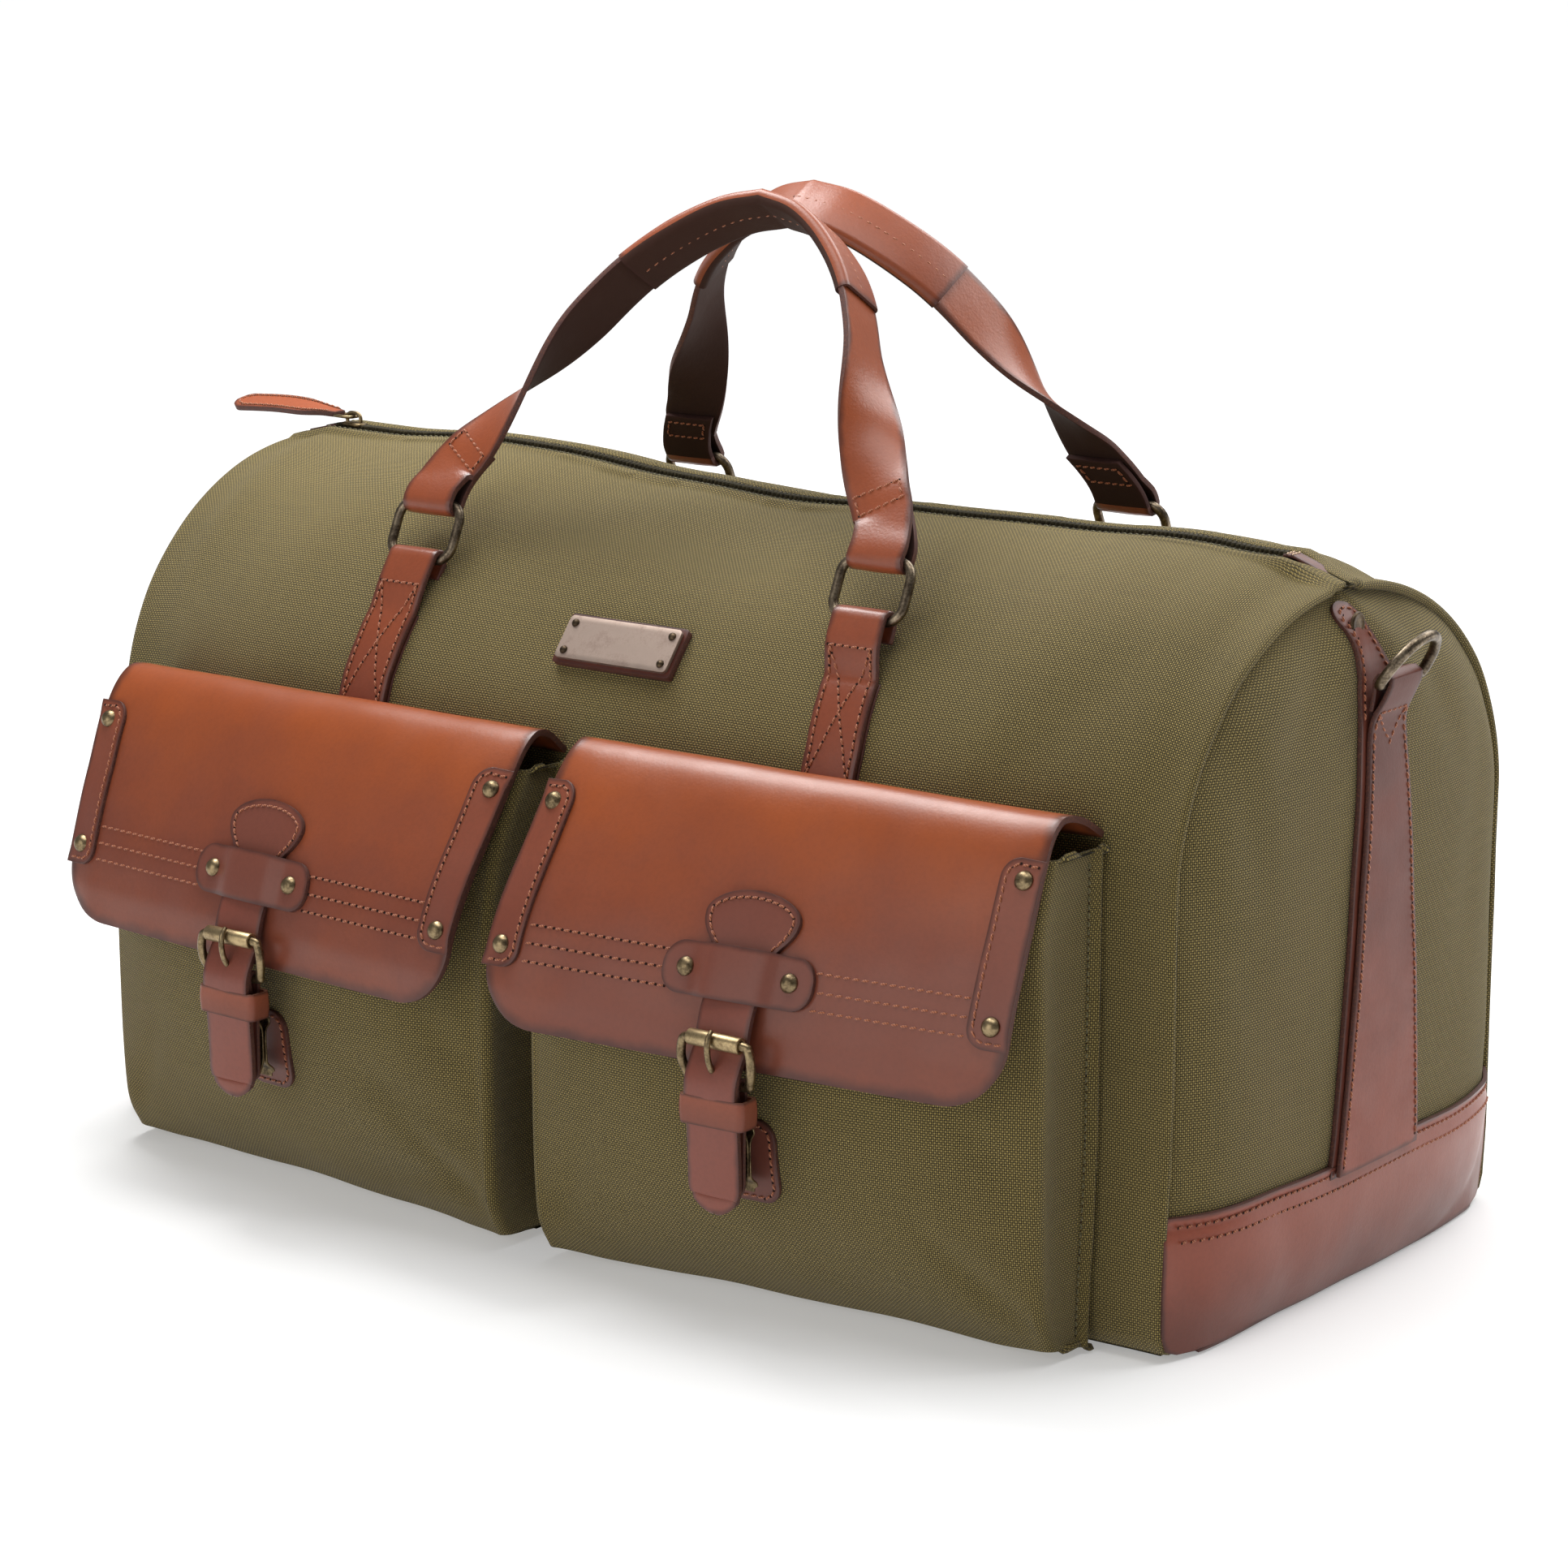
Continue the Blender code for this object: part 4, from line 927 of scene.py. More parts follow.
def end_band(side):
    """The leather band round the foot of an end, with its own soft bulge and a slightly wavy upper edge."""

    def stand_off(y, z, part):
        bulge = 1.2 * MM * sin(pi * min(1.0, part)) * (1 + 0.7 * rough(y, side, 7, 0.09))
        bulge += creases(BAND_CREASES, y, z)
        return 2.9 * MM + bulge - 1.6 * MM * hump(part, 0.93, 0.05)

    rows = []
    for part in stops(0.0, 1.0, 0.05, 0.06):
        row = []
        for u in spread(-1, 1, 81):
            y = end_across(side * u, part * BASE_HEIGHT, END_TOP[side])
            top = BASE_HEIGHT + 1.1 * MM * rough(y, side, 2, 0.05) + 0.9 * MM
            z = 0.8 * MM + part * (top - 0.8 * MM)
            row.append(end_at(side, y, z, stand_off(y, z, part)))
        rows.append(row)
    word = WORDS[side]
    sheet(
        f"{word}_end_band", rows, 1.9 * MM, [BASE_LEATHER, CUT_EDGE], "root", (f"{word}_end_base",),
        "red_leather"
    )

    def surface(y, z, lift):
        return end_at(side, y, z, stand_off(y, z, z / BASE_HEIGHT) + lift)

    for down in (3.2 * MM, 9.2 * MM):
        line = []
        for y in spread(-0.126 * side, 0.126 * side, 60):
            line.append((y, BASE_HEIGHT - down + 1.1 * MM * rough(y, side, 2, 0.05)))
        stitch(surface, line, "root", pitch=4.2 * MM)


def bottom():
    """The canvas under the bag; the stiff board inside keeps its plain shape."""
    rows = [
        [Vector((x, v * taper(x, v, 0), 1.0 * MM)) for x in spread(0.291, -0.291, 41)]
        for v in spread(-0.133, 0.133, 21)
    ]
    # The canvas under the bag is all painted-shade canvas.
    sheet("bottom_canvas", rows, 1.0 * MM, [SHADED_CANVAS, SHADED_CANVAS], "root", ("bottom_panel",), "canvas", bevel=0)
    board = frame["nodes"]["base_board"]
    board.data.materials.clear()
    board.data.materials.append(BOARD)


# Zip.

TOOTH_PITCH = 2.3 * MM
ZIP_SPAN = (-0.279, 0.268)


def zip_tapes():
    """The two woven tapes that the teeth stand on."""
    for side, word in ((-1, "front"), (1, "rear")):
        rows = []
        for x in spread(ZIP_SPAN[0], ZIP_SPAN[1], 140):
            middle = zip_line(x)
            outs = (11.5, 8.0, 5.0, 3.2, 1.2, 0.4)
            ups = (-2.6, -2.2, -1.6, -1.2, -0.8, -0.9)
            rows.append([middle + Vector((0, side * out * MM, up * MM)) for out, up in zip(outs, ups)])
        if side > 0:
            rows = [row[::-1] for row in rows]
        sheet(
            f"{word}_tape", rows, 0.7 * MM, [TAPE, TAPE], "root", (f"{word}_zip_tape",), "zip_tape", bevel=0
        )


def zip_teeth():
    """Two interleaved rows of moulded teeth."""
    teeth = Bin()
    count = int((ZIP_SPAN[1] - ZIP_SPAN[0]) / TOOTH_PITCH)
    for n in range(2 * count):
        side = -1 if n % 2 else 1
        x = ZIP_SPAN[0] + (n + 0.5) * TOOTH_PITCH / 2
        middle = zip_line(x)
        points = []
        for up, grow in ((-0.9, 0.9), (0.9, 1.0), (1.5, 0.72)):
            for out, wide in ((-0.55, 0.40), (0.4, 0.74), (2.8, 0.64)):
                half = wide * grow * MM
                y = side * out * grow * MM if out < 0 else side * out * MM
                points += [middle + Vector((-half, y, up * MM)), middle + Vector((half, y, up * MM))]
        faces = []
        for level in (0, 6):
            for a, b in ((0, 1), (1, 3), (3, 5), (5, 4), (4, 2), (2, 0)):
                faces.append((level + a, level + b, level + 6 + b, level + 6 + a))
        faces += [(12, 13, 15, 14), (14, 15, 17, 16)]
        teeth.add(points, faces)
    make_bin("zip_teeth", teeth, [TEETH], "root", "zip_tape")


def zip_stitches():
    """Topstitching along both of the zip's lips."""
    for side in (-1, 1):
        def lip(x, out, lift):
            middle = zip_line(x)
            rise = 1.45 * MM if side > 0 else 0.6 * MM
            return Vector((x, middle.y + side * out, middle.z + rise - (out / 0.142) ** 2 * 0.06 + lift))

        stitch(lip, [(x, LIP + 3.2 * MM) for x in spread(-0.272, 0.266, 90)], "root", "olive")


def zip_tab():
    """Narrow leather ends set into the zip's slot."""

    def surface(x, y, lift=0.0):
        return Vector(
            (x, y, roof_z(x) + between(RIDGE, x) + 0.9 * MM - 1.6 * MM * ease((x - 0.278) / 0.012) + lift)
        )

    rows = [[surface(x, y) for y in spread(-3.9 * MM, 3.9 * MM, 7)] for x in spread(0.287, 0.2655, 10)]
    sheet(
        "zip_end_leather", rows, 1.4 * MM, [END_LEATHER, CUT_EDGE], "root", ("zip_end_tab",), "tan_leather"
    )
    for x in (0.2672, 0.2698):
        stitch(surface, [(x, -3.6 * MM), (x, 3.6 * MM)], "root", "pale", pitch=2.4 * MM)
    left = [
        [surface(x, y, 0.3 * MM) for y in spread(-4.2 * MM, 4.2 * MM, 7)] for x in spread(-0.272, -0.288, 7)
    ]
    sheet("zip_start_leather", left, 1.4 * MM, [STRIP_LEATHER, CUT_EDGE], "root", (), "tan_leather")


SLIDER_X = -0.262
ZIP_TILT = atan2(311 - 320, 540)


def slider_point(along, across, up):
    """A point near the slider at rest: along the zip, across it and above it."""
    c, s = cos(ZIP_TILT), sin(ZIP_TILT)
    return Vector((SLIDER_X + along * c - up * s, across, roof_z(SLIDER_X) + along * s + up * c))


def zip_slider():
    """A flared body over the teeth, with an arched bridge for the puller."""
    body = Bin()
    levels = [(1.2, 0.86), (1.6, 1.0), (2.6, 1.0), (3.1, 0.8)]
    outline = [(-6.6, 1.6), (-5.2, 3.0), (0, 3.1), (4.6, 3.6), (6.6, 2.4)]
    outline += [(along, -across) for along, across in reversed(outline)]
    points = []
    for up, grow in levels:
        points += [slider_point(a * grow * MM, b * grow * MM, (up - 0.9) * MM) for a, b in outline]
    size = len(outline)
    faces = []
    for ring in range(len(levels) - 1):
        for k in range(size):
            after = (k + 1) % size
            low, high = ring * size, (ring + 1) * size
            faces.append((low + after, low + k, high + k, high + after))
    faces += [tuple(range(size)), tuple(range(4 * size - 1, 3 * size - 1, -1))]
    body.add(points, faces)
    make_bin("slider_body", body, [DARK_BRASS], "zip_slider", "brass")
    arch = [
        (-4.2, 2.0), (-4.4, 4.2), (-3.6, 5.9), (-1.8, 6.7), (1.8, 6.7), (3.6, 5.9), (4.4, 4.2), (4.2, 2.0)
    ]
    path = [slider_point(p.x * MM, 0, p.y * MM) for p in smooth(arch, 3)]
    wire("slider_bridge", path, 0.95 * MM, BRASS, "zip_slider", ("zip_slider",))


def puller():
    """A stitched leather tongue hung on a brass link."""
    widths = soft_table([(0, 3.2), (3, 4.2), (9, 4.6), (16, 5.6), (28, 6.6), (48, 6.9), (70, 6.9)])

    def half(along):
        return between(widths, along / MM) * MM

    stations = []
    for at in spread(9, 78, 47):
        lift = 5.3 + 1.4 * sin(pi * (at - 9) / 69) - 0.7 * ease((at - 40) / 38)
        lean = 0.36 * ease((at - 9) / 25)
        stations.append((slider_point(-at * MM, 0, lift * MM), (0, cos(lean), sin(lean))))
    strip = Strip(stations, 0)
    strip.half = round_end(half, (0, 6.7 * MM), 0, strip.length)
    rows = strip.rows(stops(0, strip.length, 2 * MM, 6 * MM), 9, 0.25 * MM)
    sheet(
        "puller_leather", rows, 2.6 * MM, [TAN_LEATHER, CUT_EDGE], "zip_puller", ("zip_puller",),
        "tan_leather", offset=0
    )
    line = [(3.956, 4), (5.0, 30), (4.9, 60)]
    line += [(3.956 * cos(a), 62 + 4.6 * sin(a)) for a in spread(0.2, pi - 0.2, 8)]
    line = [(a * MM, b * MM) for a, b in line + [(-4.9, 60), (-5.0, 30), (-3.956, 4)]]
    stitch(strip.face(1.45 * MM), line, "zip_puller", pitch=3.6 * MM)
    link = [(-0.6, 3.3), (-5, 3.6), (-9.6, 3.4), (-11, 1.8)]
    link += [(along, -across) for along, across in reversed(link)] + [(0.4, -1.8), (0.4, 1.8)]
    path = [slider_point(a * MM, b * MM, 4.9 * MM) for a, b in link]
    wire("puller_link", path, 0.85 * MM, BRASS, "zip_puller", (), True)


# Ends: a riveted backing and a tapering strap that rolls round the D-ring.

END_STRAP_Y = [(60, 3), (150, 3), (235, 1), (264, 2), (295, -6)]
D_RING_Y = 4 * MM
D_RING_Z = 264 * MM
BAR_OFFSET = 8.8
HEAD_Z = 287 * MM
HEAD_RADIUS = 8.6 * MM


def end_strap_y(z):
    """How far back of the middle an end strap's centre line is at height z."""
    return between(END_STRAP_Y, z / MM) * MM


def end_strap(side):
    """An end's backing with its round riveted head, and the strap that rolls round the D-ring."""
    word = WORDS[side]
    widths = soft_table([(58, 34.4), (245, 16.8), (262, 14.6), (276, 10.4), (286, 8.2)])

    def back_point(u, z, lift):
        half = between(widths, z / MM) * MM
        if z > HEAD_Z:
            half = sqrt(max(0.3 * MM * MM, HEAD_RADIUS**2 - (z - HEAD_Z) ** 2))
        y = end_strap_y(z) - side * 0.9 * MM + side * u * half
        return end_at(side, y, z, 2.3 * MM + lift)

    heights = spread(55 * MM, HEAD_Z - 2 * MM, 60)
    heights += [HEAD_Z + HEAD_RADIUS * sin(a) for a in spread(0.1, pi / 2, 9)]
    rows = [[back_point(u, z, 0) for u in spread(-1, 1, 13)] for z in heights]
    sheet(
        f"{word}_strap_backing", rows, 2.0 * MM, [DARK_LEATHER, CUT_EDGE], "root", (f"{word}_end_backing",),
        "dark_leather"
    )

    def back_surface(y, z, lift):
        return end_at(side, y + end_strap_y(z) - side * 0.9 * MM, z, 2.3 * MM + lift)

    head = [(between(widths, z / MM) * MM - 2.4 * MM, z) for z in spread(248 * MM, HEAD_Z - 1 * MM, 10)]
    inner = HEAD_RADIUS - 2.4 * MM
    round_head = [(inner * cos(a), HEAD_Z + inner * sin(a)) for a in spread(0.1, pi - 0.1, 12)]
    stitch(back_surface, head + round_head + [(-y, z) for y, z in reversed(head)], "root", pitch=3.8 * MM)
    rivet(back_surface, 0, HEAD_Z - 0.5 * MM, "root", FLAT_CAP, "caps")

    slim = [(61, 33), (240, 15.2), (256, 13.0)]
    line = [(z, 3.7) for z in spread(56, 226, 18)] + [(238, 3.9), (248, 5.2), (256, 9.0)]
    line += [(D_RING_Z / MM + 4.0 * sin(a), BAR_OFFSET + 4.0 * cos(a)) for a in spread(0.25, pi, 9)]
    line += [(259.5, BAR_OFFSET - 3.9), (252, BAR_OFFSET - 4.6)]
    anchor_x = abs(frame_joint(f"{word}_d_ring_swing")[0]) - BAR_OFFSET * MM
    stations = []
    for z, out in line:
        z, out = z * MM, out * MM
        blend = ease((z / MM - 236) / 24)
        y = end_strap_y(min(z, D_RING_Z)) + side * 0.4 * MM
        lie = abs(end_at(side, y, z).x) * (1 - blend) + anchor_x * blend
        stations.append((Vector((side * (lie + out), y, z)), (0, side, 0)))
    stations = [(p, (0, side, 0)) for p in smooth([p for p, _ in stations], 2)]
    strip = Strip(stations, 0)

    def half(along):
        return between(slim, strip.station(along)[0].z / MM) * MM

    strip.half = half
    rows = strip.rows(stops(0, strip.length, 3.2 * MM), 13, 0.3 * MM)
    sheet(
        f"{word}_strap", rows, 2.0 * MM, [END_LEATHER, CUT_EDGE], "root", (f"{word}_end_strap",),
        "red_leather", offset=0
    )
    crest = next(at for at in strip.lengths if strip.station(at)[0].z > 251 * MM)

    face = strip.face(1.1 * MM)
    for hand in (-1, 1):
        stitch(
            face, [(hand * (half(a) - 2.6 * MM), a) for a in spread(4 * MM, crest, 40)], "root",
            pitch=4.2 * MM
        )
    wide = half(crest) - 2.6 * MM
    stitch(face, [(-wide, crest), (wide, crest)], "root", pitch=4 * MM)
    stitch(
        face, [(-wide, crest - 1 * MM), (0, crest - 15 * MM), (wide, crest - 1 * MM)], "root", pitch=4 * MM
    )


def d_ring(side):
    """The D-shaped ring at rest, leaning out and up from its bar."""
    word = WORDS[side]
    bar_x = abs(frame_joint(f"{word}_d_ring_swing")[0])
    angle = radians(57)
    reach = Vector((side * cos(angle), 0, sin(angle)))
    bar = Vector((side * bar_x, D_RING_Y, D_RING_Z))
    bow = [(-17.3, 0), (-17.6, 4), (-15.2, 12.5), (-9, 20.3), (0, 23.2)]
    bow += [(-across, high) for across, high in reversed(bow[:-1])]
    points = [bar + Vector((0, across * MM, 0)) + reach * (high * MM) for across, high in soft_table(bow, 4)]
    wire(f"{word}_d_loop", points, 2.35 * MM, RING_METAL, f"{word}_d_ring", (f"{word}_d_ring",), True)


def frame_joint(name):
    """A joint's point in the row frame, in metres."""
    return next(j["pos_m"] for j in frame["joints"] if j["name"] == name)


# Front pockets.

POCKET_X = 136 * MM
POCKET_HALF = 124.5 * MM
POCKET_MIDDLE = soft_table(
    [(3, 24), (16, 36), (35, 47), (60, 56), (100, 61), (140, 56), (170, 45), (195, 31), (211, 19)]
)
POCKET_EDGE = soft_table([(3, 33), (16, 39), (35, 40.5), (100, 40), (170, 40), (195, 33), (211, 26)])
CORNER = 5 * MM


def pocket_depth(u, z):
    """How far a pocket's front stands off the wall at height z, with u from -1 to 1 across it."""
    middle = between(POCKET_MIDDLE, z / MM)
    edge = between(POCKET_EDGE, z / MM)
    return (edge + (middle - edge) * (1 - abs(u) ** 3)) * MM


def turned(side, x, drop):
    """How much less forward a pocket's outer side is than its inner one, this far below the flap's crest."""
    return 0.085 * side * (x - side * POCKET_X) * ease(drop / (100 * MM))


def pocket_soft(side, x, z):
    """The small swells and folds of a pocket's front."""
    across = x - side * POCKET_X
    depth = (1.1 * rough(x, 9, z, 0.07) + 0.35 * rough(x, 4, z, 0.022)) * MM
    depth *= ease((POCKET_HALF - abs(across)) / 0.02)
    depth += creases(POCKET_CREASES, across, z)
    if side < 0:
        depth += creases(LEFT_POCKET_CREASES, across, z)
    depth += 0.5 * MM * sin(across / 0.011) * hump(z, 0.016, 0.009)
    return depth


def pocket_front(side, x, z, lift=0.0):
    """A point on a pocket's front, lifted off the canvas."""
    u = (x - side * POCKET_X) / POCKET_HALF
    back = turned(side, x, 226 * MM - z)
    return Vector((x, back - HALF_DEPTH - pocket_depth(u, z) - pocket_soft(side, x, z) - lift, z))


def gusset(side, end, z):
    """A pocket's side from its front corner back to the stitched flange on the wall, as (x, y)."""
    flat = (POCKET_HALF - CORNER) / POCKET_HALF
    outer = POCKET_HALF
    x_at = side * POCKET_X + end * outer
    wall = HALF_DEPTH * (1 - taper(x_at, -1, z))
    edge = pocket_depth(flat, z) - turned(side, x_at, 226 * MM - z)
    turn = [(outer - CORNER + x, edge - CORNER + y) for x, y in arc((0, 0), CORNER, 75, 0, 5)]
    sag = 3.4 * MM * sin(pi * min(1.0, max(0.0, z / 0.2))) + 0.8 * MM * rough(end, side, z, 0.04)
    foot = 5.4 * MM - wall
    sides = [(outer - sag * sin(pi * t), (edge - CORNER) * (1 - t) + foot * t) for t in spread(0.12, 1, 10)]
    flange = [
        (2.4, 4.0), (3.3, 3.5), (3.6, 2.8), (3.3, 2.1), (2.4, 1.7), (1.4, 1.3), (1.1, 0.4), (1.1, -1.2)
    ]
    wave = 0.4 * MM * rough(end * 3, side, z, 0.02)
    tail = [(outer + wave + a * MM, b * MM - wall) for a, b in flange]
    return [(side * POCKET_X + end * x, -HALF_DEPTH - y) for x, y in turn + sides + tail]


def pocket_foot(side, x):
    """How high a pocket's lower edge curls up at its corners."""
    across = abs(x - side * POCKET_X)
    return (0.9 + 1.6 * ease((across - 0.094) / 0.03) + 0.4 * sin(x / 0.013)) * MM


def pocket(side):
    """A pocket as one sheet: flange, gusset, front, gusset and flange, closed under and hemmed on top."""
    word = WORDS[side]
    columns = spread(-POCKET_HALF + CORNER, POCKET_HALF - CORNER, 81)
    rows = []
    closing = [(0.0, 1.6), (0.5, 1.8), (0.86, 2.1), (0.97, 2.5)]
    heights = [3.0, 4.2, 6, 8.5, 11.5] + spread(15, 203, 62) + [205, 207, 208.5, 209.6, 210.4]
    for share, z in closing + [(1.0, h) for h in heights]:
        at = max(z, 3.0) * MM
        row = [Vector((x, y, z * MM)) for x, y in reversed(gusset(side, -1, at))]
        row += [pocket_front(side, side * POCKET_X + x, at) for x in columns]
        row += [Vector((x, y, z * MM)) for x, y in gusset(side, 1, at)]
        for place in row:
            out = -HALF_DEPTH * taper(place.x, -1, at)
            forward = ease((out - place.y) / (28 * MM))
            place.y = out + (place.y - out) * share
            place.z = z * MM + pocket_foot(side, place.x) * forward * (1 - ease((z - 3) / 40))
        rows.append(row)
    hem = [Vector((p.x, p.y + 1.3 * MM, 210.9 * MM)) for p in rows[-1]]
    inner = [Vector((p.x, p.y + 2.5 * MM, 209.6 * MM)) for p in rows[-1]]
    rows += [hem, inner]
    node = (f"{word}_pocket",)
    sheet(f"{word}_pocket_canvas", rows, 1.5 * MM, [CANVAS, SHADED_CANVAS], "root", node, "canvas", bevel=0)

    for end in (-1, 1):
        def flank(z, back, lift):
            line = gusset(side, end, z)
            x, y = line[len(line) - 9]
            return Vector((x + end * (0.3 * MM + lift), y - 1.8 * MM - back, z))

        stitch(flank, [(z, 0.0) for z in spread(0.008, 0.206, 50)], "root", "olive")
    hem_line = [(side * POCKET_X + x, 0.2005) for x in spread(-0.116, 0.116, 40)]
    stitch(lambda x, z, lift: pocket_front(side, x, z, lift), hem_line, "root", "olive")


# Flaps: one hide from the seam on the wall, over the crest, down to the rounded lower edge.

FLAP_HALF = 125 * MM
FLAP_CORNER = 27 * MM
ROOT_LINE = [(-138.5, 216.2), (-142.4, 219.6), (-147, 224.0), (-152.5, 226.7)]
FACE_LINE = [
    (-158.5, 226.8), (-166, 222.5), (-173, 215), (-180, 204), (-190, 186), (-200, 168), (-208, 150),
    (-212.6, 134), (-214.6, 124), (-215.6, 119), (-216, 116),
]
FLAP_CURVE = [(y * MM, z * MM) for y, z in soft_table(ROOT_LINE + FACE_LINE)]
FACE_START = 6 * len(ROOT_LINE)
FLAP_LENGTHS = running_lengths([Vector(p) for p in FLAP_CURVE])
CREST_ALONG = FLAP_LENGTHS[FACE_START]


def flap_station(along):
    """Depth, height and outward direction on the flap's curve at this distance from its seam."""
    along = min(max(along, 0.0), FLAP_LENGTHS[-1])
    k = 0
    while k < len(FLAP_LENGTHS) - 2 and FLAP_LENGTHS[k + 1] < along:
        k += 1
    t = (along - FLAP_LENGTHS[k]) / (FLAP_LENGTHS[k + 1] - FLAP_LENGTHS[k])
    a, b = Vector(FLAP_CURVE[k]), Vector(FLAP_CURVE[k + 1])
    c, d = Vector(FLAP_CURVE[max(k - 2, 0)]), Vector(FLAP_CURVE[min(k + 3, len(FLAP_CURVE) - 1)])
    run = d - c
    return a.lerp(b, t), Vector((run.y, -run.x)).normalized()


def flap_along(z):
    """Distance from the seam to where the flap's face comes down to height z."""
    for k in range(FACE_START, len(FLAP_CURVE) - 1):
        high, low = FLAP_CURVE[k][1], FLAP_CURVE[k + 1][1]
        if low <= z:
            return FLAP_LENGTHS[k] + (FLAP_LENGTHS[k + 1] - FLAP_LENGTHS[k]) * (high - z) / (high - low)
    return FLAP_LENGTHS[-1]


FLAP_Z_TABLE = [(z * MM, flap_along(z * MM)) for z in spread(116, 226, 111)]


def flap_sheet(side, x, along, lift=0.0):
    """A point on a flap's outer face."""
    place, out = flap_station(along)
    across = x - side * POCKET_X
    free = ease((along - 0.02) / 0.03)
    swell = (0.55 * rough(x, side, along, 0.06) + 0.25 * rough(x, 3, along, 0.02)) * free
    swell += 0.7 * rough(x, 11 + side, 0, 0.045) * hump(along, 0.028, 0.014)
    curl = -1.8 * ease((abs(across) - 0.107) / 0.02) * free
    curl -= 1.2 * ease((along - FLAP_LENGTHS[-1] + 0.018) / 0.018) * free
    place = place + out * ((swell + curl) * MM + lift)
    back = turned(side, x, along - CREST_ALONG)
    back += HALF_DEPTH * (1 - taper(x)) * (1 - ease(along / CREST_ALONG))
    return Vector((x, place.x + back, place.y))


def flap_face(side, x, z, lift=0.0):
    """A point on a flap's outer face by its height."""
    return flap_sheet(side, x, between(FLAP_Z_TABLE, z), lift)


def flap_half_width(along):
    """Half width of a flap at this distance from its seam, rounded at the lower corners."""
    left = FLAP_LENGTHS[-1] - along
    if left >= FLAP_CORNER:
        return FLAP_HALF - 1.2 * MM * hump(along, 0.022, 0.02)
    return FLAP_HALF - FLAP_CORNER + sqrt(max(0.0, FLAP_CORNER**2 - (FLAP_CORNER - left) ** 2))


def flap(side):
    """A flap with its stitching, edge strips and the head and bar of its buckle strap."""
    word = WORDS[side]
    total = FLAP_LENGTHS[-1]
    alongs = spread(0, total - FLAP_CORNER, 52)
    alongs += [total - FLAP_CORNER * (1 - sin(pi / 2 * t)) for t in spread(0.05, 1, 16)]
    shares = [sin(pi / 2 * t) * 0.3 + t * 0.7 for t in spread(-1, 1, 81)]
    rows = []
    for along in alongs:
        half = flap_half_width(along)
        rows.append([flap_sheet(side, side * POCKET_X + u * half, along) for u in reversed(shares)])
    hide = sheet(
        f"{word}_flap_hide", rows, 2.8 * MM, [FLAP_LEATHER, CUT_EDGE], None,
        (f"{word}_flap", f"{word}_flap_root"), "tan_leather", bevel=0.7 * MM
    )
    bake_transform(hide)

    def face(a, z, lift):
        return flap_face(side, side * POCKET_X + a, z, lift)

    def root(a, along, lift):
        return flap_sheet(side, side * POCKET_X + a, along, lift)

    stitch(root, [(a, 7.5 * MM) for a in spread(-0.121, 0.121, 50)], "root")
    for end in (-1, 1):
        edge_strip(side, end, face)
        for z in (158.8, 151.6, 144.4):
            inner = 36.5 if abs(z - 151.6) < 3 else 34.5
            stitch(
                face, [(end * inner * MM, (z - 0.3) * MM), (end * (FLAP_HALF - 18 * MM), z * MM)],
                f"{word}_flap"
            )
    teardrop(side, face)
    keeper_bar(side, face)


def edge_strip(side, end, face):
    """A riveted strip along a side edge of the flap, its inner corners rounded."""
    word, edge = WORDS[side], {-1: "left", 1: "right"}[end]
    low, high, wide, corner = 140.5 * MM, 212.5 * MM, 17.4 * MM, 8 * MM

    def width(z):
        left = min(high - z, z - low)
        if left >= corner:
            return wide
        return wide - corner + sqrt(max(0.0, corner**2 - (corner - left) ** 2))

    def point(across, z, lift=0.0):
        tip = 1.0 * MM * (ease((z - high + 8 * MM) / (8 * MM)) + ease((low + 8 * MM - z) / (8 * MM)))
        return face(end * (FLAP_HALF + 0.4 * MM + tip * (1 - across / wide) - across), z, 1.75 * MM + lift)

    rows = []
    for z in stops(low, high, 2.4 * MM, corner):
        row = [point(u * width(z), z) for u in spread(0, 1, 9)]
        rows.append(row if end < 0 else row[::-1])
    sheet(
        f"{word}_flap_{edge}_trim", rows, 1.7 * MM, [STRIP_LEATHER, CUT_EDGE], f"{word}_flap",
        (f"{word}_flap_{edge}_strip",), "red_leather"
    )
    inset = 2.6 * MM
    line = [(2.5 * MM, high - inset)]
    line += arc((wide - corner, high - corner), corner - inset, 90, 0, 6)
    line += arc((wide - corner, low + corner), corner - inset, 0, -90, 6)
    line += [(2.5 * MM, low + inset)]
    stitch(point, line, f"{word}_flap", pitch=3.9 * MM)
    for across, z in ((7.0, 204.5), (7.6, 149.5)):
        rivet(point, across * MM, z * MM, f"{word}_flap")


HEAD_WIDEST = 174.5


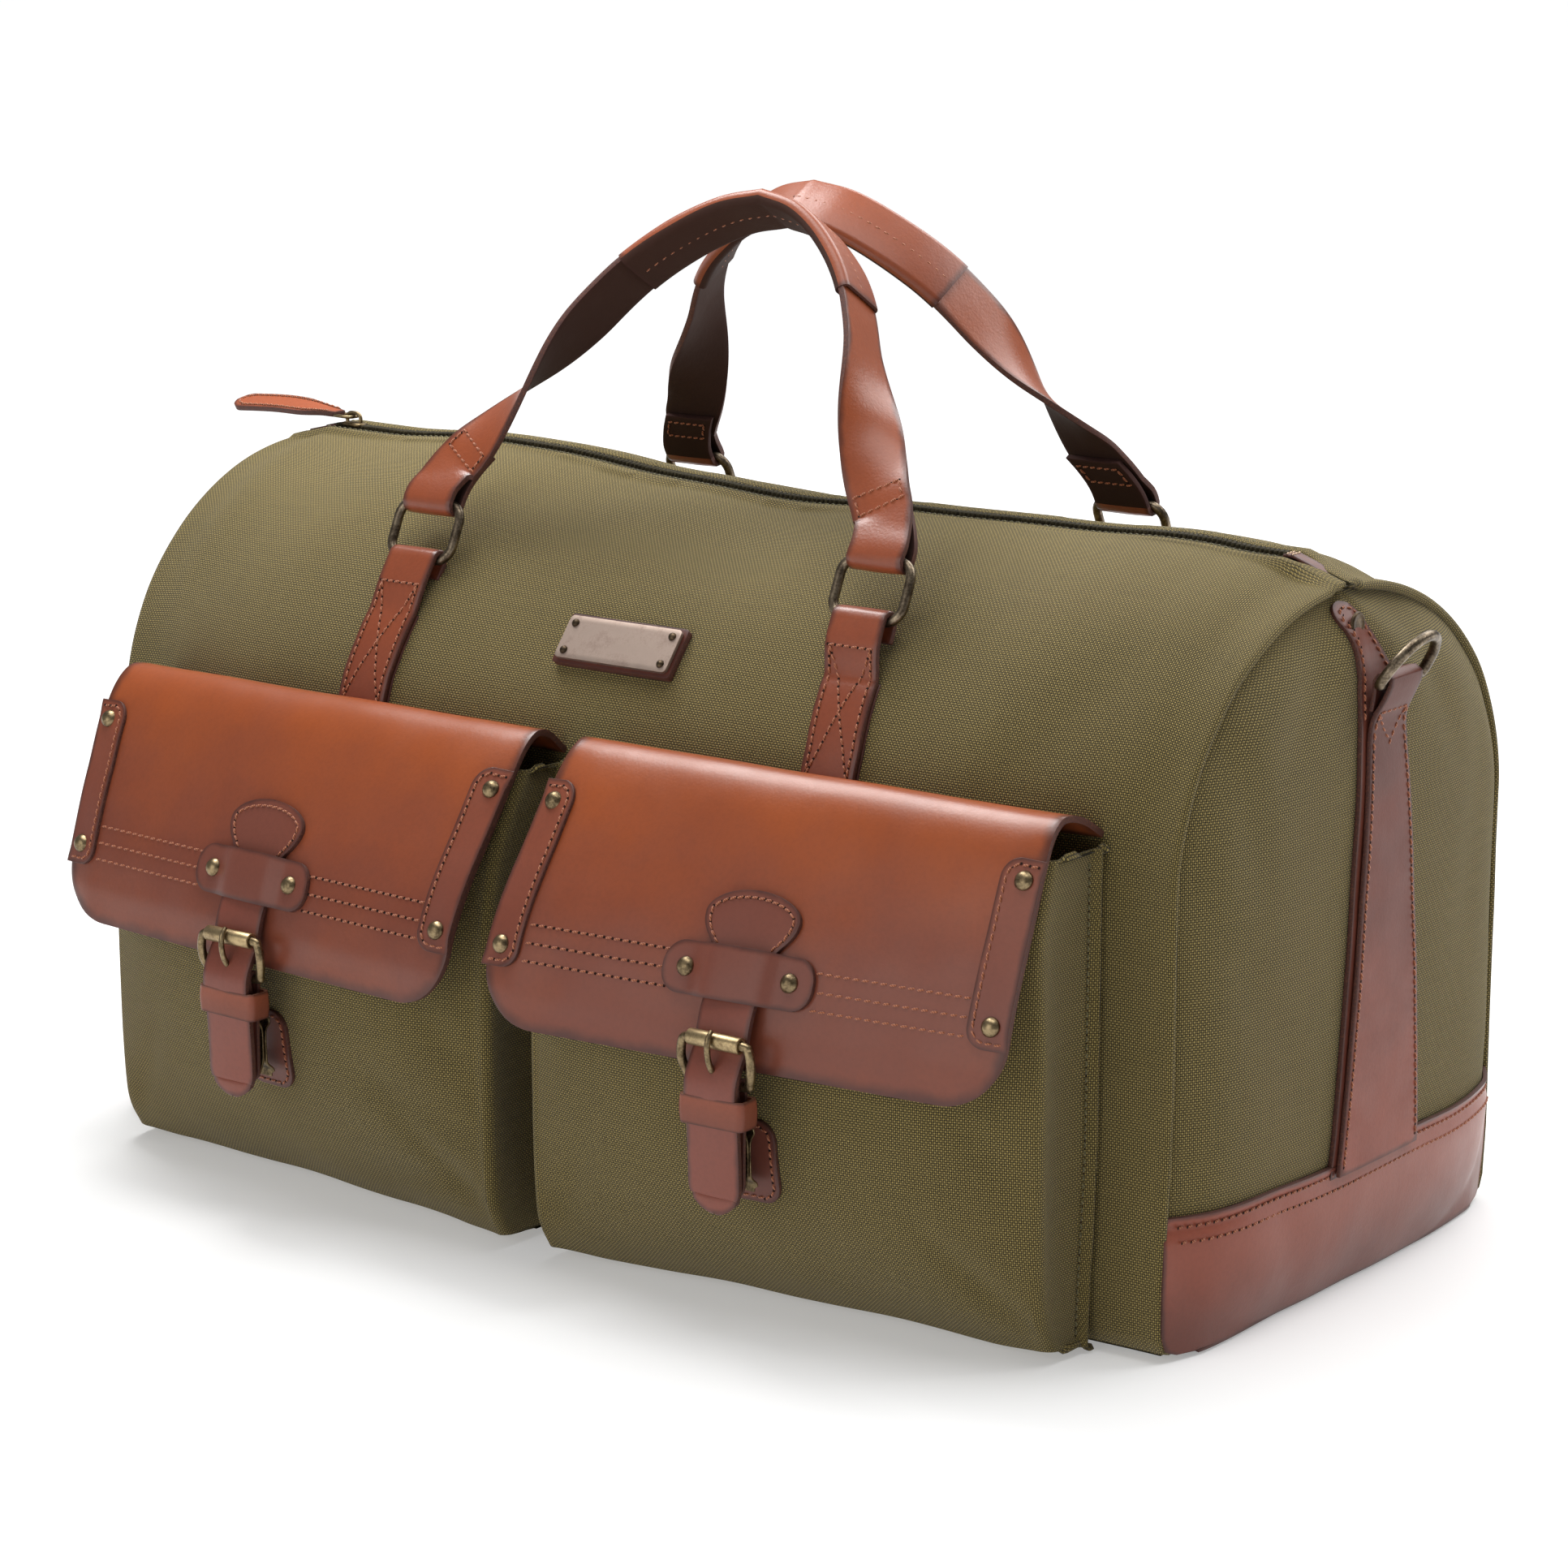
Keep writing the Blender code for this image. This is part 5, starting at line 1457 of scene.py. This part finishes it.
def teardrop(side, face):
    """The stitched head of the buckle strap, showing above the bar."""
    word = WORDS[side]
    outline = soft_table(
        [(142, 13), (156, 13), (160, 13.6), (164, 16.5), (168, 20.2), (171.5, 22.2), (HEAD_WIDEST, 22.8)]
    )

    def half(z):
        if z <= HEAD_WIDEST * MM:
            return between(outline, z / MM) * MM
        return 22.8 * MM * sqrt(max(0.001, 1 - ((z - HEAD_WIDEST * MM) / (10 * MM)) ** 2))

    def point(a, z, lift=0.0):
        return face(a, z, 2.1 * MM + lift)

    heights = spread(0.1432, HEAD_WIDEST * MM, 22)
    heights += [(HEAD_WIDEST + 10 * sin(a)) * MM for a in spread(0.08, pi / 2, 12)]
    rows = [[point(u * half(z), z) for u in spread(1, -1, 15)] for z in reversed(heights)]
    sheet(f"{word}_strap_head", rows, 2.1 * MM, [DARK_LEATHER, CUT_EDGE], f"{word}_flap", (), "dark_leather")
    line = [(half(z * MM) - 2.8 * MM, z * MM) for z in spread(163, HEAD_WIDEST - 1, 8)]
    line += [(20 * MM * cos(a), (HEAD_WIDEST + 7.2 * sin(a)) * MM) for a in spread(0.1, pi - 0.1, 14)]
    line += [(-a, z) for a, z in reversed(line[:8])]
    stitch(point, line, f"{word}_flap", pitch=3.5 * MM)


def keeper_bar(side, face):
    """A riveted cross bar that arches over the buckle strap."""
    word = WORDS[side]
    lift = soft_table(
        [(-36, 2.2), (-30, 2.2), (-20, 2.6), (-14, 5.3), (-8, 6.2)]
        + [(8, 6.2), (14, 5.3), (20, 2.6), (30, 2.2), (36, 2.2)]
    )
    half = round_end(10.2 * MM, (9.2 * MM, 9.2 * MM), -36 * MM, 36 * MM)

    def point(across, up, more=0.0):
        return face(across, 152.6 * MM + up, between(lift, across / MM) * MM + more)

    rows = []
    for across in stops(-36 * MM, 36 * MM, 2.6 * MM, 9 * MM):
        rows.append([point(across, v * half(across)) for v in spread(1, -1, 9)])
    sheet(
        f"{word}_bar", rows, 2.1 * MM, [DARK_LEATHER, CUT_EDGE], f"{word}_flap", (f"{word}_keeper_bar",),
        "dark_leather", bevel=0.6 * MM
    )
    for across in (-25, 25):
        rivet(point, across * MM, 0.3 * MM, f"{word}_flap")


# Buckles.

ROLLER = (-223.2 * MM, 129 * MM)
PIVOT = (-220.4 * MM, 111 * MM)
PRONG_LINE = [
    (-220.9, 113.6), (-223.4, 115.2), (-226.2, 118.2), (-227.9, 122.4), (-228.5, 127), (-227.7, 131.2),
    (-225.6, 133.7),
]
STRAP_LINE = [
    (-209.9, 150), (-212.3, 144.8), (-215.6, 138), (-217.8, 131), (-219.4, 125), (-222.8, 119),
    (-225.9, 112),
    (-226.2, 104), (-224.8, 95), (-223.9, 80), (-223.6, 70), (-223.4, 64), (-223.1, 60), (-222.8, 56.6),
]


def buckle(side):
    """The buckle strap hanging from a flap, with its frame, roller, prong, keeper loop and clip."""
    word = WORDS[side]
    x = side * POCKET_X
    line = upright(x, STRAP_LINE, 5)
    strap = Strip([(p, (-1, 0, 0)) for p in line], 0)
    strap.half = round_end(13 * MM, (0, 12 * MM), 0, strap.length)
    alongs = stops(0, strap.length - 12.5 * MM, 1.9 * MM)
    alongs += stops(strap.length - 12 * MM, strap.length, 3 * MM, 6 * MM)
    rows = strap.rows(alongs, 11, 0.35 * MM)
    tongue = sheet(
        f"{word}_strap_tongue", rows, 2.4 * MM, [TONGUE_LEATHER, CUT_EDGE], None, (f"{word}_buckle_strap",),
        "dark_leather", offset=0, bevel=0.6 * MM
    )
    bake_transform(tongue)
    # A dark sheet just above the strap is painted shade standing for the prong's slot.
    slot_at = next(at for at in strap.lengths if strap.station(at)[0].z < 119.5 * MM)
    rows = []
    for down, wide in ((0, 0.5), (1, 1), (4, 1), (5.4, 0.5)):
        rows.append(
            [strap.at(a * MM * wide, slot_at + down * MM, 1.32 * MM) for a in (-1.5, -0.5, 0.5, 1.5)]
        )
    sheet(f"{word}_strap_slot", rows, 0, [HOLE_SHADE], f"{word}_strap", (), "dark_leather")

    lean = Vector((0, ROLLER[0] - PIVOT[0], ROLLER[1] - PIVOT[1]))
    up = lean.normalized()
    middle = Vector((x, (ROLLER[0] + PIVOT[0]) / 2, (ROLLER[1] + PIVOT[1]) / 2))
    out = Vector((0, -up.z, up.y))
    outline = [
        (-13.6, 9.1, 0), (-16.6, 7.6, 0), (-17.8, 3.2, 0.6), (-17.7, -1.6, 1.0), (-16.2, -6.2, 0.6),
        (-12.6, -9.1, 0)
    ]
    outline += [(-p[0], p[1], p[2]) for p in reversed(outline)]
    loop = smooth(outline + outline[:1], 5)[:-1]
    points = [middle + Vector((p.x * MM, 0, 0)) + up * (p.y * MM) + out * (p.z * MM) for p in loop]
    wire(f"{word}_buckle_loop", points, 2.0 * MM, BRASS, f"{word}_strap", (f"{word}_buckle_frame",), True)

    roller = Bin()
    profile = [
        (2.2, -13.2), (3.2, -13.2), (3.45, -12.8), (3.45, 12.8), (3.2, 13.2), (2.2, 13.2), (2.2, -13.2)
    ]
    lathe(
        roller, Vector((x, *ROLLER)), Vector((1, 0, 0)), [(r * MM, h * MM) for r, h in reversed(profile)], 28
    )
    sleeve = make_bin(f"{word}_roller_sleeve", roller, [ROLLER_BRASS], f"{word}_roller", "brass")
    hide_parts(f"{word}_buckle_roller")

    path = upright(x, PRONG_LINE, 4)
    radii = [between([(0, 1.25), (0.8, 1.1), (1.0, 0.8)], k / (len(path) - 1)) for k in range(len(path))]
    wire(f"{word}_pin", path, 1.15 * MM, BRASS, f"{word}_prong", (f"{word}_buckle_prong",), radii=radii)

    keeper_loop(side)
    clip(side)


def keeper_loop(side):
    """A soft leather band round the strap, with a raw upper edge."""
    word = WORDS[side]
    outline = rounded_rectangle(16.2 * MM, 6.4 * MM, 3.2 * MM, 6)
    rows = []
    for part in stops(0, 1, 0.125, 0.12):
        row = []
        for across, deep in outline:
            rag = 0.55 * rough(across, deep, side, 0.0028) + 0.35 * rough(across, deep, side, 0.011)
            rag = rag * MM * ease((part - 0.6) / 0.4)
            z = (93.6 + 12.2 * part) * MM + rag + 0.02 * across * side
            belly = 1 + 0.035 * sin(pi * part)
            row.append(Vector((side * POCKET_X + across * belly, -221.4 * MM + deep * belly, z)))
        rows.append(row)
    sheet(
        f"{word}_loop_band", rows, 1.7 * MM, [LOOP_LEATHER, RAW_EDGE], f"{word}_strap",
        (f"{word}_keeper_loop",), "tan_leather", wrap=True
    )


def clip(side):
    """The tab behind the strap, and the sprung catch on its leather patch."""
    word = WORDS[side]
    x = side * POCKET_X
    turn = arc((PIVOT[0] / MM, PIVOT[1] / MM), 2.9, 0, 180, 7)
    line = [(-218.9, 62), (-218.8, 84), (-218.4, 97), (-217.8, 104)] + turn + [
        (-222.6, 106.5), (-221.6, 101.5)
    ]
    path = upright(x, line, 3)
    tab = Strip([(p, (-1, 0, 0)) for p in path], 0)
    tab.half = round_end(11.6 * MM, (7 * MM, 0), 0, tab.length)
    rows = tab.rows(stops(0, tab.length, 2 * MM, 5 * MM), 9)
    sheet(
        f"{word}_tab_leather", rows, 1.7 * MM, [DARK_LEATHER, CUT_EDGE], f"{word}_strap",
        (f"{word}_buckle_tab",), "dark_leather", offset=0
    )

    low, high = 55 * MM, 92 * MM
    half = round_end(14.4 * MM, (8 * MM, 9 * MM), low, high)

    def patch_at(a, z, lift=0.0):
        return pocket_front(side, x + a, z, 2.0 * MM + lift)

    rows = [
        [patch_at(u * half(z), z) for u in spread(1, -1, 13)]
        for z in reversed(stops(low, high, 2.4 * MM, 10 * MM))
    ]
    sheet(
        f"{word}_patch", rows, 1.9 * MM, [DARK_LEATHER, CUT_EDGE], "root", (f"{word}_clip_patch",),
        "red_leather"
    )
    inset = 2.5 * MM
    ring = [
        (a, b + (low + high) / 2) for a, b in rounded_rectangle(14.4 * MM - inset, 18.5 * MM - inset, 6 * MM)
    ]
    stitch(patch_at, ring + ring[:1], "root", pitch=3.7 * MM)

    wall = HALF_DEPTH + 61 * MM + 2.2 * MM
    catch = [
        (0.4, 62), (0.8, 66), (4.2, 69), (5.0, 72), (5.2, 84), (3.0, 87), (2.8, 89), (4.4, 92), (5.4, 93)
    ]
    rows = []
    for out, z in soft_table(catch, 3):
        half = 8.6 if 64 < z < 91 else 0.8 * 8.6
        rows.append([Vector((x + a * MM, -wall - out * MM, z * MM)) for a in spread(half, -half, 7)])
    sheet(
        f"{word}_catch", rows, 0.9 * MM, [DARK_BRASS, BRASS], "root", (f"{word}_clip_base",), "brass",
        bevel=0.2 * MM
    )
    hook = [(-217.6, 92), (-216.2, 89), (-214.6, 86), (-214.2, 80), (-214.4, 72), (-215.8, 68), (-217.2, 66)]
    rows = [
        [Vector((x + a * MM, y * MM, z * MM)) for a in spread(9.6, -9.6, 7)] for y, z in soft_table(hook, 3)
    ]
    sheet(f"{word}_hook", rows, 0.9 * MM, [DARK_BRASS, BRASS], f"{word}_strap", (), "brass", bevel=0.2 * MM)


# Handles, rings and anchors. Side is -1 at the front and 1 at the back.

RING_X = 125 * MM
RING_LOWER = (-107 * MM, 283.5 * MM)
RING_UPPER = (-96 * MM, 307.5 * MM)
HANDLE_APEX = (-15.5 * MM, 442 * MM)
ANCHOR_X = 130 * MM
HALF_ARCH = [
    (0.0, 1.0), (0.17, 0.967), (0.345, 0.885), (0.52, 0.765), (0.665, 0.60), (0.775, 0.42), (0.885, 0.235),
    (0.962, 0.125), (1.0, 0.05),
]
TUCKS = [
    (0.05, 0), (0.125, 0.013), (0.235, 0.033), (0.42, 0.068), (0.6, 0.088), (0.765, 0.06), (0.885, 0.02),
    (1, 0)
]
TUCK = {-1: 0.5, 1: 0.25}
LEAN = {-1: 0.07, 1: 0.0}
ARCH_STEPS = 8
GRIP_STEPS = 28
TWIST_STEPS = 24
FOLD_RADIUS = 3.9


def handle_axes(side):
    """A handle's plane: its origin between the rings, up to the apex, out from the bag, and its height."""
    origin = Vector((0, -side * RING_UPPER[0], RING_UPPER[1]))
    apex = Vector((0, -side * HANDLE_APEX[0], HANDLE_APEX[1]))
    up = (apex - origin).normalized()
    return origin, up, Vector((0, side * up.z, -side * up.y)), (apex - origin).length


def arch(side):
    """Centre points of one handle from left to right, each with the strap's width direction."""
    origin, up, out, height = handle_axes(side)
    half = smooth(
        [((x - TUCK[side] * between(TUCKS, h)) * RING_X, h * height, 0) for x, h in HALF_ARCH], ARCH_STEPS
    )
    flat = [Vector((-p.x, p.y, 0)) for p in reversed(half[1:])] + half
    lean = LEAN[side] * RING_X
    points = [origin + Vector((p.x + lean * (p.y / height) ** 2, 0, 0)) + up * p.y for p in flat]
    middle = len(half) - 1
    frames = []
    for k, place in enumerate(points):
        before, after = points[max(k - 1, 0)], points[min(k + 1, len(points) - 1)]
        across = (after - before).cross(out * -side).normalized()
        angle = pi / 2 * ease((abs(k - middle) - GRIP_STEPS - 2) / TWIST_STEPS)
        frames.append((place, (out * cos(angle) + across * sin(angle)) * -side))
    return frames, middle


def handle(side):
    """A flat strap arched between two rings and folded round each, with a grip in the middle."""
    word = {-1: "front", 1: "rear"}[side]
    frames, middle = arch(side)
    origin, up, out, _ = handle_axes(side)
    legs = [f for f in frames if (f[0] - origin).dot(up) > 21 * MM]
    turn = [(FOLD_RADIUS * cos(a), -FOLD_RADIUS * sin(a)) for a in spread(pi, 0, 9)]
    fold = [(-2.8, 26), (-2.9, 19), (-3.2, 12), (-3.8, 6)] + turn + [(3.5, 6), (1.5, 14)]
    leg = sorted(((f[0] - origin).dot(up), abs(f[0].x)) for f in frames[middle:])
    path = []
    for end, first in ((-1, legs[0]), (1, legs[-1])):
        across = Vector((copysign(1, first[1].x), 0, 0))
        reach = [between(leg, h * MM) if h > 6 else RING_X for _, h in fold]
        bend = [
            origin + Vector((end * x, 0, 0)) + out * (o * MM) + up * (h * MM)
            for x, (o, h) in zip(reach, fold)
        ]
        bend = smooth(bend, 2)
        part = [(p, across) for p in bend]
        path = part + legs if end < 0 else path + part[::-1]
    strip = Strip(path, 0)
    apex = min(range(len(path)), key=lambda k: (path[k][0] - frames[middle][0]).length)
    apex_at = strip.lengths[apex]
    grip_at = (frames[middle + GRIP_STEPS][0] - frames[middle][0]).length * 1.03 - 9 * MM
    tail = strip.lengths[len(fold) * 2 - 1]

    def half(along):
        away = abs(along - apex_at)
        return (12 + 2 * ease((away - grip_at + 10 * MM) / (10 * MM))) * MM

    strip.half = half
    flip = -1 if strip.station(apex_at)[2].z < 0 else 1
    if flip < 0:
        strip.widths = [-w for w in strip.widths]
    rows = strip.rows(stops(0, strip.length, 2.6 * MM), 11, 0.3 * MM)
    # The strap's back faces take the near-black painted-shade leather: painted shade on the handle's inner
    # side.
    hide = sheet(
        f"{word}_handle_hide", rows, 2.7 * MM, [STRAP_LEATHER, CUT_EDGE, PAINTED_SHADE_LEATHER], f"{word}_handle",
        (f"{word}_handle_strap",),
        "red_leather", offset=0, bevel=0.6 * MM,
    )
    grip(side, word, strip, apex_at, grip_at)
    # The rear handle's fold tails get painted shade.
    if side > 0:
        shade_fold_tails(hide, 27 * MM, strip.length)
    for hand in (-1, 1):
        for centre in (9 * MM, tail + 6 * MM):
            middle_at = centre if hand < 0 else strip.length - centre
            corners = ((-10.6, -4.6), (10.6, -4.6), (10.6, 4.6), (-10.6, 4.6), (-10.6, -4.6))
            box = [(a * MM, middle_at + b * MM) for a, b in corners]
            stitch(strip.face(1.5 * MM), box, f"{word}_handle", pitch=3.9 * MM)


def shade_fold_tails(hide, reach, length):
    """Paints shade on the tails of a handle's folds: their faces take the near-black painted-shade leather.
    """
    steps = len(hide.data.polygons) // 10
    for piece in hide.data.polygons:
        along = (piece.index // 10 + 0.5) * length / steps
        if min(along, length - along) < reach:
            piece.material_index = 2


def grip(side, word, strip, apex_at, grip_at):
    """A leather sleeve closed with a seam along the middle of both faces."""
    outline = rounded_rectangle(14.4 * MM, 3.7 * MM, 3.0 * MM, 5)[::-1]
    rows = []
    for along in stops(apex_at - grip_at, apex_at + grip_at, 2.6 * MM, 3 * MM):
        row = []
        for across, lift in outline:
            pinch = 1 - 0.16 * hump(across, 0, 4 * MM)
            soft = 0.25 * MM * rough(across, along, side, 0.02)
            row.append(strip.at(across, along, lift * pinch + (soft if lift > 0 else -soft)))
        rows.append(row)
    sleeve = sheet(
        f"{word}_grip", rows, 1.5 * MM, [GRIP_LEATHER, CUT_EDGE, PAINTED_SHADE_LEATHER], f"{word}_handle",
        (f"{word}_handle_grip",),
        "tan_leather", wrap=True,
    )
    # The sleeve's downward faces take the painted-shade leather: painted shade under the grip.
    for piece in sleeve.data.polygons:
        k = piece.index % len(outline)
        if outline[k][1] < 0 and outline[(k + 1) % len(outline)][1] < 0:
            piece.material_index = 2
    for face in (-1, 1):
        line = [(0.4 * MM, a) for a in spread(apex_at - grip_at + 3 * MM, apex_at + grip_at - 3 * MM, 60)]
        stitch(
            lambda a, b, lift: strip.at(a, b, face * (3.15 * MM + lift)), line, f"{word}_handle",
            pitch=4.6 * MM
        )


def ring(side, end):
    """A rounded rectangular ring joining a handle to its anchor."""
    word, hand = {-1: "front", 1: "rear"}[side], WORDS[end]
    lower = Vector((end * RING_X, -side * RING_LOWER[0], RING_LOWER[1]))
    upper = Vector((end * RING_X, -side * RING_UPPER[0], RING_UPPER[1]))
    up = (upper - lower).normalized()
    middle = (upper + lower) / 2
    outline = rounded_rectangle(17.9 * MM, (upper - lower).length / 2, 7.2 * MM, 7)
    points = [middle + Vector((a * (1 + 0.02 * cos(b / 0.006)), 0, 0)) + up * b for a, b in outline]
    wire(
        f"{word}_{hand}_loop", points, 2.2 * MM, RING_METAL, f"{word}_rings", (f"{word}_{hand}_ring",), True
    )


def anchor(side, end):
    """A strap sewn up the wall with a crossed box of stitches, folded round a ring's lower bar."""
    word, hand = {-1: "front", 1: "rear"}[side], WORDS[end]
    bar = Vector(RING_LOWER) / MM
    along, out = Vector((0.48, 0.877)), Vector((-0.877, 0.48))
    line = []
    for z in (219, 224, 229, 233, 237, 241, 246, 251, 256, 260):
        place = wall_at(-1, end * RING_X, z * MM, 2.4 * MM) / MM
        line.append((place.y, place.z))
    line.append(tuple(bar - 13 * along + 3.9 * out))
    line += [tuple(bar + FOLD_RADIUS * (out * cos(a) + along * sin(a))) for a in spread(0, pi, 8)]
    line.append(tuple(bar - 8 * along - FOLD_RADIUS * out))
    path = []
    for depth, height in line:
        lean = end * (RING_X + (ANCHOR_X - RING_X) * min(1.0, max(0.0, (284 - height) / 50)))
        path.append(Vector((lean, -side * depth * MM, height * MM)))
    strip = Strip([(p, (-side, 0, 0)) for p in smooth(path, 3)], 13.6 * MM)
    rows = strip.rows(stops(0, strip.length, 2.4 * MM), 11, 0.2 * MM)
    sheet(
        f"{word}_{hand}_tab", rows, 2.6 * MM, [STRAP_LEATHER, CUT_EDGE], "root", (f"{word}_{hand}_anchor",),
        "red_leather", offset=0, bevel=0.6 * MM
    )

    face = strip.face(1.45 * MM)
    wide, top = 10.6 * MM, strip.length - 34 * MM
    stitch(face, [(-wide, 0), (-wide, top), (wide, top), (wide, 0)], "root", pitch=3.9 * MM)
    stitch(face, [(-wide, top), (wide, 2 * MM)], "root", pitch=3.9 * MM)
    stitch(face, [(wide, top), (-wide, 2 * MM)], "root", pitch=3.9 * MM)
    back = [
        [strip.at(u * 13.9 * MM, a, -2.6 * MM) for u in spread(-1, 1, 5)] for a in spread(0, 46 * MM, 16)
    ]
    sheet(
        f"{word}_{hand}_tab_lining", back, 1.8 * MM, [DARK_LEATHER, CUT_EDGE], "root", (), "dark_leather",
        offset=0
    )


# Plate, left blank.


def plate():
    """A riveted metal plate with softened corners on a slightly larger leather backing."""

    def wall(a, b, lift):
        base = front_wall(4 * MM, 259 * MM, 0)
        ahead = front_wall(4 * MM, 260 * MM, 0)
        up = (ahead - base).normalized()
        out = Vector((0, -up.z, up.y))
        return base + Vector((a, 0, 0)) + up * b + out * lift

    for name, half_x, half_y, base, thick, corner, materials, nodes, slot in (
        ("plate_backing", 32.6, 12.2, 3.4, 3.2, 1.5, [END_LEATHER, CUT_EDGE], (), "red_leather"),
        ("plate_face", 31, 10.5, 5.4, 1.9, 2.0, [PLATE_METAL, PLATE_METAL], ("blank_plate",), "plate_brass"),
    ):
        half = round_end(half_y * MM, (corner * MM, corner * MM), -half_x * MM, half_x * MM)
        rows = []
        for a in stops(-half_x * MM, half_x * MM, 2.5 * MM, corner * MM):
            rows.append([wall(a, v * half(a), base * MM) for v in spread(1, -1, 9)])
        sheet(name, rows, thick * MM, materials, "root", nodes, slot, bevel=0.55 * MM)
    for a in (-27, 27):
        for b in (-6.8, 6.8):
            rivet(lambda p, q, lift: wall(p, q, 5.4 * MM + lift), a * MM, b * MM, "root", PIN, "pins")


# Light, floor and camera.


def area_light(name, place, target, size, power, colour=(1, 1, 1)):
    """A rectangular lamp aimed at a point."""
    data = bpy.data.lights.new(name, "AREA")
    data.shape = "RECTANGLE"
    data.size, data.size_y = size
    data.energy = power
    data.color = colour
    lamp = bpy.data.objects.new(name, data)
    bpy.context.scene.collection.objects.link(lamp)
    lamp.location = place
    lamp.rotation_euler = (Vector(place) - Vector(target)).to_track_quat("Z", "Y").to_euler()


def studio():
    """A white floor that glows more with distance, a white surround and soft lamps."""
    mesh = bpy.data.meshes.new("studio_floor")
    corners = [(x, y, -0.0005) for x, y in ((-40, -40), (40, -40), (40, 40), (-40, 40))]
    mesh.from_pydata(corners, [], [(0, 1, 2, 3)])
    floor = bpy.data.objects.new("studio_floor", mesh)
    bpy.context.scene.collection.objects.link(floor)
    r = Recipe("pale_floor", Roughness=0.9, Emission_Color=(1, 1, 1))
    place = r.object_place()
    grain = r.noise(place, 3, 2)
    r.set("Base Color", r.mix(grain, (0.74, 0.74, 0.74), (0.78, 0.78, 0.78)))
    away = r.node("ShaderNodeVectorMath", operation="LENGTH")
    r.plug(place, away.inputs[0])
    r.set("Emission Strength", r.remap(away.outputs["Value"], 0.45, 2.4, 0.3, 0.85))
    mesh.materials.append(r.material)
    world = bpy.data.worlds.new("studio")
    world.use_nodes = True
    world.node_tree.nodes["Background"].inputs[0].default_value = (1, 1, 1, 1)
    world.node_tree.nodes["Background"].inputs[1].default_value = 0.21
    bpy.context.scene.world = world
    area_light("back_panel", (0.35, 1.15, 1.45), (0.05, 0, 0.2), (2.3, 0.9), 31)
    area_light("overhead", (0.0, -0.25, 1.9), (0, -0.05, 0.2), (1.7, 0.9), 18.5)
    area_light("front_fill", (-0.3, -2.5, 0.9), (0, 0, 0.15), (2.0, 1.4), 15, (1, 0.985, 0.96))
    area_light("low_right", (1.3, 1.3, 0.25), (0.3, 0.1, 0.05), (0.9, 0.4), 2)
    area_light("flap_glint", (-0.42, 0.06, 1.05), (0.17, -0.17, 0.215), (0.42, 0.34), 6.5)


def camera():
    """A long lens from the bag's front right, a little above it."""
    turn, rise, distance = radians(37.136), radians(12.815), 1.0
    back = Vector((sin(turn) * cos(rise), -cos(turn) * cos(rise), sin(rise))) * distance
    data = bpy.data.cameras.new("photo_view")
    data.lens = 98.23
    data.sensor_width = 36
    view = bpy.data.objects.new("photo_view", data)
    bpy.context.scene.collection.objects.link(view)
    view.location = (1.16187, -1.53175, 0.61372)
    view.rotation_euler = (-back).to_track_quat("-Z", "Y").to_euler()
    bpy.context.scene.camera = view
    bpy.context.scene.view_settings.view_transform = "Standard"


wall_panel("front_canvas", -1, "front_panel")
wall_panel("rear_canvas", 1, "rear_panel")
bottom()
zip_tapes()
zip_teeth()
zip_stitches()
zip_tab()
zip_slider()
puller()
plate()
for hand in (-1, 1):
    end_panel(hand)
    end_band(hand)
    end_strap(hand)
    d_ring(hand)
    pocket(hand)
    flap(hand)
    buckle(hand)
    handle(hand)
    for end in (-1, 1):
        ring(hand, end)
        anchor(hand, end)
sew_up()
studio()
camera()
